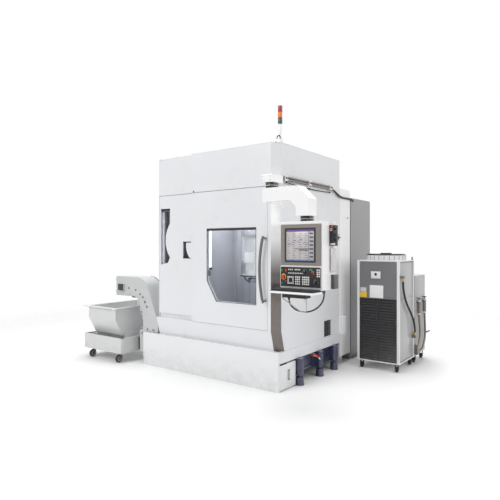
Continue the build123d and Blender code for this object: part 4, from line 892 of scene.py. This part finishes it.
KEY_ROWS = (
    # places, half width, half height, front, rounding
    (product((262, 282, 302, 336, 352, 368, 384), (1320,)), 6, 6, KEY_TOP, 1.2),
    (product(steps_between(262, 412, 9), (1285,)), 6, 5, KEY_TOP, 1.2),
    ([spot for spot in WIDE_PAD if not (260 < spot[0] < 300 and 1200 < spot[1] < 1230)],
     7, 7, KEY_TOP - 0.5, 1.5),
    (product((342, 362, 382), (1182, 1204, 1226, 1248)), 7, 8, KEY_TOP - 0.5, 1.5),
    (product((420, 441, 462, 483), (1182, 1204, 1226, 1248)), 8, 8, KEY_TOP - 0.5, 1.5),
    (product((578, 598), (1262, 1282, 1302, 1322)), 7, 7, KEY_TOP, 1.5),
)
white_keys = Piece("panel_keys", "pendant", KEY_WHITE, "lamp_white")
for places, half_width, half_height, front, soft in KEY_ROWS:
    for x, z in places:
        white_keys.block((x - half_width, x + half_width), (front, PANEL_FACE),
                         (z - half_height, z + half_height), soft=soft)
white_keys.done()
for name, finish, slot_name, places in (
        ("green_keys", GREEN_PLASTIC, "start_green", ((500, 1322), (518, 1322), (536, 1306))),
        ("red_keys", RED_PLASTIC, "stop_red", ((520, 1302), (540, 1286), (226, 1202))),
        ("teal_key", TEAL_PLASTIC, "start_green", ((184, 1184),))):
    caps = Piece(name, "pendant", finish, slot_name)
    for x, z in places:
        caps.block((x - 8, x + 8), (-215, PANEL_FACE), (z - 8, z + 8), soft=2)
    caps.done()
STOP_PLATE = ((0, 21.5), (0, 29), (1.6, 29), (2.2, 28), (2.2, 21.5))
Piece("stop_plate", "pendant", YELLOW_PLASTIC, "lamp_plastic").turned(
    (STOP_X, -209.8, STOP_Z), FORWARD, STOP_PLATE, 44).done()
scales = Piece("knob_scales", "pendant", KEY_WHITE, "lamp_white")
for x, z in ((FEED_X, FEED_Z), (MODE_X, MODE_Z)):
    for k in range(9):
        angle = pi * (-0.2 + 1.4 * k / 8)
        scales.turned((x + 23.5 * cos(angle), -209.6, z + 23.5 * sin(angle)), FORWARD,
                      ((0, 0), (0, 1.8), (0.8, 1.8), (0.8, 0)), 8)
scales.done()
for name, body, x, y, z in (("feed_pointer", "feed_knob", FEED_X, -224.2, FEED_Z),
                            ("mode_pointer", "mode_knob", MODE_X, -225.2, MODE_Z)):
    Piece(name, body, KEY_WHITE, "lamp_white").block(
        (x - 1.4, x + 1.4), (y - 0.5, y + 0.6), (z + 2, z + 15), soft=0.3).done()
Piece("stop_ring", "emergency_stop", RED_PLASTIC, "stop_red").ring(
    (STOP_X, -229, STOP_Z), FORWARD, 11, 0.9, 36, 8).done()
Piece("panel_edge", "pendant", PENDANT_PAINT, "pendant_white").frame_of(
    oblong(166, 614, 1152, 1346), 4, -211, -208).done()
screws = Piece("pendant_screws", "pendant", ZINC, "caster_steel")
screws.screws(product((176, 604), (-207.6,), (1373, 1751)), FORWARD, 3.6, 2.4)
screws.screws(product((168, 612), (85,), (1160, 1450, 1760)), BACKWARD, 5, 3)
screws.done()
Piece("pendant_back_plate", "pendant", PENDANT_PAINT, "pendant_white").block(
    (180, 600), (84.5, 87.5), (1150, 1770), soft=1.2).done()
fins = Piece("pendant_vent", "pendant", BLACK_PAINT, "panel_black")
for z in steps_between(1600, 1700, 9):
    fins.block((300, 480), (87, 88.5), (z, z + 5), soft=0.6)
fins.done()

# Keyboard shelf: keys, white tray edge, and the bent brace under it

keys = Piece("keyboard_keys", "pendant", BLACK_PLASTIC, "panel_black")
for row in range(5):
    y = -372 + 27 * row
    for x in steps_between(178 + 4 * (row % 2), 590 + 4 * (row % 2), 21):
        beside_space_bar = row > 0 or not 250 < x < 420
        if beside_space_bar:
            keys.block((x - 8.4, x + 8.4), (y, y + 20), (1135.5, 1140.5), soft=1.5)
keys.block((256, 414), (-372, -352), (1135.5, 1140.5), soft=1.5)
keys.done()
tray = Piece("shelf_edge", "pendant", PENDANT_PAINT, "pendant_white")
for x in ((150.5, 153.5), (624.5, 627.5)):
    tray.block(x, (-388.5, -206), (1098, 1119), soft=1)
tray.block((150.5, 627.5), (-388.6, -386), (1098, 1119), soft=1)
tray.block((151, 627), (-388, -206), (1098.5, 1101), soft=1)
tray.done()
Piece("shelf_brace", "pendant", ZINC, "bright_steel").pipe(
    smooth((270, -330, 1056), (278, -322, 1036), (322, -276, 990), (372, -226, 938),
           (392, -208, 920), (416, -200, 912), (444, -208, 918), (466, -226, 936),
           (494, -270, 1000), (506, -300, 1042), (510, -310, 1056)), 5.5, 14).done()
brace_feet = Piece("brace_feet", "pendant", ZINC, "caster_steel")
for x, y in ((270, -330), (510, -310)):
    brace_feet.turned((x, y, 1053), DOWNWARD, ((0, 13), (3, 13), (4, 11), (4, 6)), 24)
brace_feet.done()
glands = Piece("cable_glands", "pendant", BLACK_PLASTIC, "panel_black")
for spot in ((288, -250, 1053), (562, -42, 1127.5)):
    glands.turned(spot, DOWNWARD, ((0, 14), (8, 14), (9, 12), (20, 11), (24, 8)), 24)
glands.done()

# Hand unit on the pendant's side, the bare plates by it, and its wheel's grip

for name, finish, slot_name, x, y, z in (
        ("hand_unit_plate", KEY_WHITE, "lamp_white", (633, 682), (-53, -51), (1560, 1576)),
        ("side_plate", BRACE_PAINT, "lamp_white", (632.5, 634.5), (-48, 66), (1300, 1530)),
        ("side_box", SIDE_GREY, "panel_black", (630, 664), (-40, 58), (1134, 1272))):
    Piece(name, "pendant", finish, slot_name).block(x, y, z, soft=1).done()
hand_keys = Piece("hand_unit_keys", "pendant", KEY_WHITE, "lamp_white")
for x in (634, 648):
    for z in (1700, 1716):
        hand_keys.block((x - 5, x + 5), (-54, -51.5), (z - 5, z + 5), soft=1)
hand_keys.done()
Piece("hand_unit_stop", "pendant", RED_PLASTIC, "stop_red").turned(
    (652, -52, 1738), FORWARD, ((0, 9), (5, 9), (6, 11), (10, 11), (13, 8), (13, 0)), 28).done()
crank = Piece("wheel_crank", "handwheel", ZINC, "caster_steel")
crank.turned((698.6, -4, 1660), RIGHTWARD, ((0, 5), (0.4, 5), (0.4, 0)), 16)
crank.ring((698.4, -4, 1632), RIGHTWARD, 33, 1.2, 40, 8)
crank.done()

# Working chamber behind the window: folded wall, lamp, post, wipers, spindle face, nozzles

folds = Piece("wall_folds", "base", CHAMBER_PAINT, "liner_paint")
for left in (-1150, -1040, -930, -820):
    folds.prism(((left, 742), (left + 70, 754), (left + 108, 754), (left + 110, 742)), "z",
                790, 2100, soft=1.5)
folds.done()
# Chamber work light, placed where its glow shows as the bright strip at the window's left edge: a
# lamp, and a painted highlight for the reflection there
Piece("chamber_light_as_highlight", "base", LIGHT_TUBE, "lamp_white").block(
    (-1029, -985), (54, 66), (1290, 1740), soft=3).done()
strip_ends = Piece("light_clamps", "base", BLACK_PLASTIC, "panel_black")
for z in (1282, 1752):
    strip_ends.block((-1033, -981), (52, 70), (z - 14, z + 14), soft=4)
strip_ends.done()
Piece("chamber_post", "base", LINER_PAINT, "liner_paint").block(
    (-196, -170), (300, 330), (760, 2100), soft=3).done()
wipers = Piece("slide_wipers", "spindle_slide", BLACK_RUBBER, "panel_black")
for x in ((-762, -732), (-468, -438)):
    for z in ((1150, 1160), (1780, 1790)):
        wipers.block(x, (700, 752), z, soft=2)
wipers.done()
face = Piece("spindle_face", "spindle_slide", BOX_STEEL, "bright_steel")
face.block((-722, -478), (296.5, 301), (1216, 1752), soft=2)
face.screws(product((-706, -494), (296.5,), steps_between(1236, 1732, 5)), FORWARD, 6, 4)
face.done()
Piece("spindle_plate", "spindle_slide", KEY_WHITE, "lamp_white").block(
    (-672, -528), (295, 297), (1352, 1479), soft=0.8).done()
Piece("spindle_sole", "spindle_slide", BLACK_PAINT, "panel_black").block(
    (-734, -466), (298, 562), (1188, 1202), soft=3).done()
nozzles = Piece("coolant_nozzles", "spindle_slide", BLUE_PAINT, "head_blue")
for x, y, reach in ((-690, 330, 40), (-510, 330, -30)):
    nozzles.pipe(smooth((x, y, 1190), (x, y, 1170), (x + reach * 0.2, y + 6, 1150),
                         (x + reach * 0.5, y + 20, 1132), (x + reach, y + 34, 1112)), 7, 12)
    for k in range(6):
        nozzles.ring((x, y, 1186 - 5 * k), UPWARD, 7, 2, 20, 8)
nozzles.done()
Piece("work_head_bolts", "base", DARK_STEEL, "machined_steel").nuts(
    [(x, y, 722) for x in (-492, -270) for y in (322, 538)], UPWARD, 10, 8).done()

# Cast base: two bent pipes on its right side, with their unions

for name, finish, slot_name, route in (
        ("red_pipe", RED_PLASTIC, "stop_red",
         ((-40, 742, 284), (8, 742, 282), (34, 760, 264), (40, 800, 240), (36, 850, 228),
          (8, 868, 226), (-40, 868, 226))),
        ("white_pipe", KEY_WHITE, "conduit_white",
         ((-40, 790, 252), (6, 790, 250), (34, 806, 238), (40, 850, 200), (34, 890, 188),
          (6, 902, 187), (-40, 902, 187)))):
    Piece(name, "base", finish, slot_name).pipe(smooth(*route), 9, 14).done()
unions = Piece("pipe_unions", "base", BRASS, "bright_steel")
for y, z in ((742, 283), (868, 226), (790, 251), (902, 187)):
    unions.turned((-36, y, z), RIGHTWARD, ((0, 14), (12, 14), (13, 12), (13, 10)), 6)
    unions.turned((-24, y, z), RIGHTWARD, ((0, 11), (12, 11), (13, 9)), 20)
unions.done()

# Chip conveyor: bolted side plates, drive cover, black strip along the neck as painted shade, flap
# under the head

neck = Piece("neck_plate", "base", CONVEYOR_PAINT, "conveyor_grey")
neck.prism(((-2233, 640), (-2078, 640), (-2166, 838), (-2226, 918), (-2330, 976), (-2500, 998),
            (-2500, 892), (-2330, 888), (-2276, 862), (-2252, 800)), "y", NECK_FACE, 50.4, soft=0.8)
neck.prism(oblong(-2216, -1960, 372, 470), "y", 44, 50.4, soft=1.5)
neck.done()
neck_bolts = Piece("neck_bolts", "base", DARK_STEEL, "caster_steel")
neck_bolts.nuts([(x, NECK_FACE, z) for x, z in (
    (-2186, 866), (-2146, 806), (-2107, 745), (-2214, 668), (-2240, 905), (-2330, 955),
    (-2470, 975))], FORWARD, 9, 8)
neck_bolts.nuts([(x, 44, z) for x in (-2196, -2088, -1980) for z in (390, 452)], FORWARD, 8, 7)
neck_bolts.done()
drive = Piece("drive_lid", "base", BLACK_PAINT, "panel_black")
drive.block((-2677, -2565), (22.5, 27), (938, 1026), soft=2.2)
drive.screws([(x, 22.5, z) for x in (-2666, -2576) for z in (949, 1015)], FORWARD, 4, 3)
drive.done()
# Black strip along the neck's back edge: painted shade for the dark line between its faces
Piece("neck_edge_shadow_strip", "base", BLACK_RUBBER, "panel_black").pipe(
    smooth((-1893, 298, 440), (-1893, 298, 530), (-1905, 298, 585), (-1964, 298, 716),
           (-2022, 298, 848), (-2062, 298, 938), (-2096, 298, 1004), (-2146, 298, 1066),
           (-2214, 298, 1112), (-2310, 298, 1129)), 6, 10).done()
Piece("chute_flap", "base", BLACK_RUBBER, "panel_black").prism(
    ((-2700, 868), (-2450, 868), (-2452, 812), (-2698, 812)), "y", 286, 289, soft=1).done()

# Chip cart: rolled rim, gussets, caster plates, weld beads, pull handle and wheel hubs

Piece("hopper_rim", "cart", CART_PAINT, "cart_grey").pipe(
    smooth((-3074, -216, 716), (-3060, -223, 716), (-2430, -223, 716), (-2418, -216, 716),
           (-2416, 670, 716), (-2430, 677, 716), (-3060, 677, 716), (-3074, 670, 716),
           (-3074, -200, 716)), 8, 12).done()
gussets = Piece("cart_gussets", "cart", CART_PAINT, "cart_grey")
for x in ((-2350, -2330), (-3124, -3104)):
    for y in ((-198, -120), (564, 642)):
        gussets.block(x, y, (132, 330), soft=2)
gussets.prism(((-2519, 272), (-2331, 272), (-2331, 132), (-2400, 132)), "y", -199, -195.5,
              soft=0.8)
gussets.done()
mounts = Piece("caster_plates", "cart", ZINC, "caster_steel")
for x in (WHEEL_LEFT, WHEEL_RIGHT):
    for y in (-111, 555):
        mounts.block((x - 48, x + 48), (y - 42, y + 42), (122.5, 128.5), soft=1.2)
        mounts.nuts([(x + a, y + b, 122.5) for a in (-36, 36) for b in (-31, 31)], DOWNWARD, 7, 6)
mounts.done()
beads = Piece("weld_beads", "cart", ZINC, "cart_grey")
for x in (-3032, -2441):
    for y in (-190, 644):
        for k in range(16):
            beads.turned((x, y, 562 + 9 * k), UPWARD, ((0, 2), (2, 3.4), (6, 3.4), (9, 2)), 8)
beads.done()
HOPPER_GRIP = smooth((-3058, 40, 660), (-3082, 44, 664), (-3096, 60, 668), (-3100, 100, 668),
                     (-3100, 354, 668), (-3096, 394, 668), (-3082, 410, 664), (-3058, 414, 660))
Piece("hopper_grip", "cart", ZINC, "caster_steel").pipe(HOPPER_GRIP, 9, 14).done()
for corner, x, y in (("front_left", WHEEL_LEFT, -143), ("front_right", WHEEL_RIGHT, -143),
                     ("rear_left", WHEEL_LEFT, 587), ("rear_right", WHEEL_RIGHT, 587)):
    hub = Piece("hub_" + corner, "wheel_" + corner, ZINC, "caster_steel")
    for way in (1, -1):
        hub.turned((x + way * 15.6, y, AXLE_Z), (way, 0, 0), (
            (0, 34), (1, 34), (1.6, 32), (1.6, 24), (0.4, 22), (0.4, 14), (1.4, 12)), 36)
    hub.done()

# Chiller: control and bare plates, fan ring, lifting eyes, side panels, hose couplings, fins

Piece("control_plate", "base", CHILLER_WHITE, "chiller_white").block(
    (396, 520), (1521.5, 1526), (1144, 1232), soft=2).done()
Piece("control_dial", "base", BLACK_PLASTIC, "panel_black").turned(
    (458, 1522, 1196), FORWARD, ((0, 17), (2, 17), (3, 13), (11, 12), (12, 11), (12, 0)), 30).done()
board = Piece("blank_board", "base", KEY_WHITE, "lamp_white")
board.block((376, 552), (1529.5, 1531.5), (900, 1058), soft=0.8)
board.screws(product((386, 542), (1529.5,), (910, 1048)), FORWARD, 3, 2)
board.done()
Piece("blank_tag", "base", BRACE_PAINT, "lamp_white").block(
    (250, 330), (1529.8, 1531.5), (968, 1024), soft=0.6).done()
Piece("blank_tag_low", "base", YELLOW_PLASTIC, "lamp_plastic").block(
    (246, 336), (1529.8, 1531.5), (900, 964), soft=0.6).done()
ribs = Piece("fan_ring_ribs", "base", CHILLER_WHITE, "chiller_white")
for z in (1378, 1392, 1406, 1420):
    ribs.ring((FAN_X, FAN_Y, z), UPWARD, 245.5, 3, 96, 8)
ribs.done()
ring_clips = Piece("fan_ring_clips", "base", DARK_STEEL, "caster_steel")
for k in range(24):
    angle = pi * k / 12
    foot = (FAN_X + 246 * cos(angle), FAN_Y + 246 * sin(angle))
    ring_clips.rod((*foot, 1374), (*foot, 1428), 2.6)
ring_clips.done()
bridge = Piece("fan_bridge", "base", BLACK_PAINT, "grille_black")
bridge.ring((FAN_X, FAN_Y, 1437), UPWARD, 240, 6, 96, 10)
bridge.block((FAN_X - 62, FAN_X + 62), (FAN_Y - 40, FAN_Y + 40), (1440, 1462), soft=5)
for y in (FAN_Y - 12, FAN_Y + 12):
    bridge.rod((FAN_X - 236, y, 1444), (FAN_X + 236, y, 1444), 6)
bridge.done()
ring_feet = Piece("fan_ring_feet", "base", ZINC, "caster_steel")
for k in range(8):
    angle = pi / 8 + pi * k / 4
    ring_feet.nuts([(FAN_X + 232 * cos(angle), FAN_Y + 232 * sin(angle), 1432)], UPWARD, 7, 7)
ring_feet.done()
eyes = Piece("lifting_eyes", "base", DARK_STEEL, "caster_steel")
for x in (232, 735):
    eyes.turned((x, 2071, 1369.5), UPWARD, ((0, 16), (4, 16), (6, 12), (8, 9), (14, 8)), 24)
    eyes.ring((x, 2071, 1394), RIGHTWARD, 13, 5, 30, 10)
eyes.done()
side_panels = Piece("chiller_panels", "base", CHILLER_SIDE, "chiller_grey")
for x in ((746.5, 750), (217, 220.5)):
    for z in ((897, 1338), (131, 893)):
        side_panels.block(x, (1554, 2063), z, soft=1.4)
side_panels.done()
for name, x, way in (("panel_screws_right", 749.8, RIGHTWARD),
                     ("panel_screws_left", 217.2, LEFTWARD)):
    Piece(name, "base", ZINC, "caster_steel").screws(
        product((x,), (1590, 1810, 2030), (155, 865, 920, 1315)), way, 6, 4).done()
Piece("panel_screws_front", "base", ZINC, "caster_steel").screws(
    product((256, 712), (1532,), (920, 1340)), FORWARD, 5, 4).done()
couplings = Piece("hose_couplings", "base", BRASS, "bright_steel")
for y, z, way in ((1578, 1150, -1), (2034, 396, 1)):
    couplings.turned((HOSE_X, y, z), (0, 0, way),
                     ((0, 15), (0, 19), (16, 19), (18, 17), (18, 14)), 6)
    couplings.turned((HOSE_X, y, z + way * 18), (0, 0, way),
                     ((0, 16), (14, 16), (16, 14.5), (16, 13.2)), 24)
couplings.done()
condenser = Piece("condenser_fins", "base", DARK_STEEL, "grille_black")
for x in steps_between(250, 470, 45) + steps_between(497, 717, 45):
    condenser.block((x - 0.6, x + 0.6), (1546, 1550), (120, 886))
condenser.done()

# Coolant unit behind the chiller: its panels, the flanges on its pipes and the valve wheels

unit_panel = Piece("unit_panel", "base", UNIT_PAINT, "chiller_grey")
unit_panel.block((748, 753), (2190, 2540), (860, 1120), soft=2)
unit_panel.block((360, 720), (2572, 2576.5), (160, 1110), soft=2)
unit_panel.done()
Piece("unit_screws", "base", ZINC, "caster_steel").screws(
    [(753, y, z) for y in (2206, 2524) for z in (876, 1104)], RIGHTWARD, 5, 4).done()
flanges = Piece("pipe_flanges", "base", CHILLER_WHITE, "chiller_white")
for y in PIPE_ROW:
    for z in (640, 812):
        flanges.turned((PIPE_X, y, z), UPWARD, ((0, 20), (0, 27), (12, 27), (14, 25), (14, 20)), 8)
flanges.done()
wheels = Piece("valve_wheels", "base", BLACK_PLASTIC, "panel_black")
for y in PIPE_ROW:
    wheels.turned((PIPE_X, y, 831), UPWARD, ((0, 6), (22, 6), (24, 12), (30, 12), (30, 0)), 20)
    wheels.ring((PIPE_X, y, 856), UPWARD, 22, 4.5, 32, 10)
    for k in range(4):
        across, along = 22 * cos(pi * k / 4), 22 * sin(pi * k / 4)
        wheels.rod((PIPE_X - across, y - along, 856), (PIPE_X + across, y + along, 856), 3)
wheels.done()

# Electrical cabinet and rear housing: hinges, handle, lock; and the hatch on the left wall

cabinet_hinges = Piece("cabinet_hinges", "base", ZINC, "caster_steel")
for z in (320, 1140, 1960):
    cabinet_hinges.rod((-722, 2500, z - 40), (-722, 2500, z + 40), 8, soft=2)
    cabinet_hinges.block((-760, -722), (2484, 2489), (z - 36, z + 36), soft=1.5)
cabinet_hinges.done()
swing = Piece("cabinet_handle", "cabinet_door", BLACK_PLASTIC, "panel_black")
swing.block((-92, -58), (2510, 2518), (1040, 1230), soft=3)
swing.block((-86, -64), (2516, 2532), (1052, 1200), soft=5)
swing.turned((-75, 2517, 1214), BACKWARD,
             ((0, 10), (6, 10), (7, 8), (7, 3), (5, 3), (5, 0)), 24)
swing.done()
Piece("column_lock", "base", DARK_STEEL, "caster_steel").turned(
    (29.5, 1625, 1920), RIGHTWARD, ((0, 12), (2, 12), (4, 9), (4, 4), (2, 3), (2, 0)), 20).done()
Piece("left_side_hatch", "base", WHITE_PAINT, "cover_paint").block(
    (-1873, LEFT_WALL), (420, 1280), (1180, 2100), soft=1.4).done()
Piece("hatch_screws", "base", ZINC, "caster_steel").screws(
    product((-1873,), (440, 850, 1260), (1200, 1640, 2080)), LEFTWARD, 6, 4).done()
Piece("cabinet_screws", "base", ZINC, "caster_steel").screws(
    [(x, y, 2204.5) for x in (-1070, -560, -50) for y in (1860, 2455)], UPWARD, 7, 5).done()

# Free cable and hose

CABLE_ROUTE = ((288, -250, 1052.7), (288, -250, 1005), (312, -238, 958), (352, -212, 925),
               (404, -178, 908), (458, -138, 912), (508, -96, 940), (545, -62, 990),
               (562, -42, 1050), (562, -42, 1127))
cord("cable_run", "pendant", BLACK_RUBBER, "pendant_cable", CABLE_ROUTE, 0.014)
HOSE_ROUTE = ((1578, 1150), (1578, 1085), (1596, 1005), (1640, 922), (1705, 842), (1785, 770),
              (1870, 703), (1945, 635), (2002, 560), (2034, 478), (2034, 396))
cord("hose_run", "base", BLACK_RUBBER, "chiller_hose",
     [(HOSE_X, y, z) for y, z in HOSE_ROUTE], 0.026)


# Camera, floor and lamps

EYE_HEIGHT = 1550
camera = bpy.data.objects.new("camera", bpy.data.cameras.new("camera"))
bpy.context.scene.collection.objects.link(camera)
camera.location = at(2739, -4187, EYE_HEIGHT)
camera.rotation_euler = (radians(90), 0, radians(36.6))
camera.data.sensor_width = 36
camera.data.lens = 34.2
camera.data.shift_y = -0.008
bpy.context.scene.camera = camera


def make_stage():
    """Wide pale floor that thins out into the white far from the machine"""
    reach, just_below = 16, -0.0005
    mesh = bmesh.new()
    corners = oblong(-reach, reach, -reach, reach)
    mesh.faces.new([mesh.verts.new((x, y, just_below)) for x, y in corners])
    data = bpy.data.meshes.new("studio_floor")
    mesh.to_mesh(data)
    mesh.free()
    material, tree, shader = surface("studio_floor", Base_Color=(0.9, 0.9, 0.9, 1),
                                     Roughness=0.6, Specular_IOR_Level=0.2)
    place = put(tree, "ShaderNodeTexCoord")
    away = put(tree, "ShaderNodeVectorMath", operation="LENGTH")
    join(tree, place.outputs["Object"], away.inputs[0])
    clear = put(tree, "ShaderNodeBsdfTransparent")
    both = put(tree, "ShaderNodeMixShader")
    join(tree, ramp(tree, away.outputs["Value"], 3.2, 7.0), both.inputs["Fac"])
    join(tree, shader.outputs["BSDF"], both.inputs[1])
    join(tree, clear.outputs["BSDF"], both.inputs[2])
    join(tree, both.outputs["Shader"], tree.nodes["Material Output"].inputs["Surface"])
    data.materials.append(material)
    floor = bpy.data.objects.new("studio_floor", data)
    bpy.context.scene.collection.objects.link(floor)
    floor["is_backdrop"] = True


def area_lamp(name, place, target, size, power, colour=(1, 1, 1)):
    """Square soft lamp aimed at a target; metres and watts"""
    data = bpy.data.lights.new(name, "AREA")
    data.size = size
    data.energy = power
    data.color = colour
    lamp = bpy.data.objects.new(name, data)
    bpy.context.scene.collection.objects.link(lamp)
    lamp.location = place
    lamp.rotation_euler = (Vector(target) - Vector(place)).to_track_quat("-Z", "Y").to_euler()


def make_world():
    """White where it is seen, mirrored or looked through, and dimmer as light on the machine"""
    world = bpy.data.worlds.new("studio")
    bpy.context.scene.world = world
    world.use_nodes = True
    tree = world.node_tree
    room = tree.nodes["Background"]
    room.inputs["Color"].default_value = (1, 1, 1, 1)
    paths = put(tree, "ShaderNodeLightPath")
    seen = calculate(tree, "MAXIMUM", paths.outputs["Is Camera Ray"],
                     paths.outputs["Is Glossy Ray"])
    seen = calculate(tree, "MAXIMUM", seen, paths.outputs["Is Transmission Ray"])
    light_strength, seen_strength = 0.42, 1.0
    join(tree, ramp(tree, seen, 0, 1, light_strength, seen_strength), room.inputs["Strength"])


make_stage()
make_world()
MACHINE_MIDDLE = (0, 0, 1.3)
area_lamp("key_lamp", (-1.5, -8.5, 6.5), MACHINE_MIDDLE, 5.0, 380)
area_lamp("side_lamp", (8.0, -1.5, 5.0), MACHINE_MIDDLE, 4.0, 120)
area_lamp("top_lamp", (0, 0.5, 8.5), MACHINE_MIDDLE, 6.0, 520)
area_lamp("back_lamp", (-3.0, 8.0, 5.0), MACHINE_MIDDLE, 4.0, 200)
area_lamp("rear_side_lamp", (9.0, 5.5, 4.0), at(0, 1700, 1200), 3.0, 120)
area_lamp("chamber_lamp", at(-760, 330, 2080), at(-760, 480, 900), 0.26, 4.2, (0.98, 0.98, 1))
bpy.context.scene.view_settings.view_transform = "Standard"


low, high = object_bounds()
({"cad": [list(corner) for corner in cad_box],
           "visual": [list(low), list(high)]})
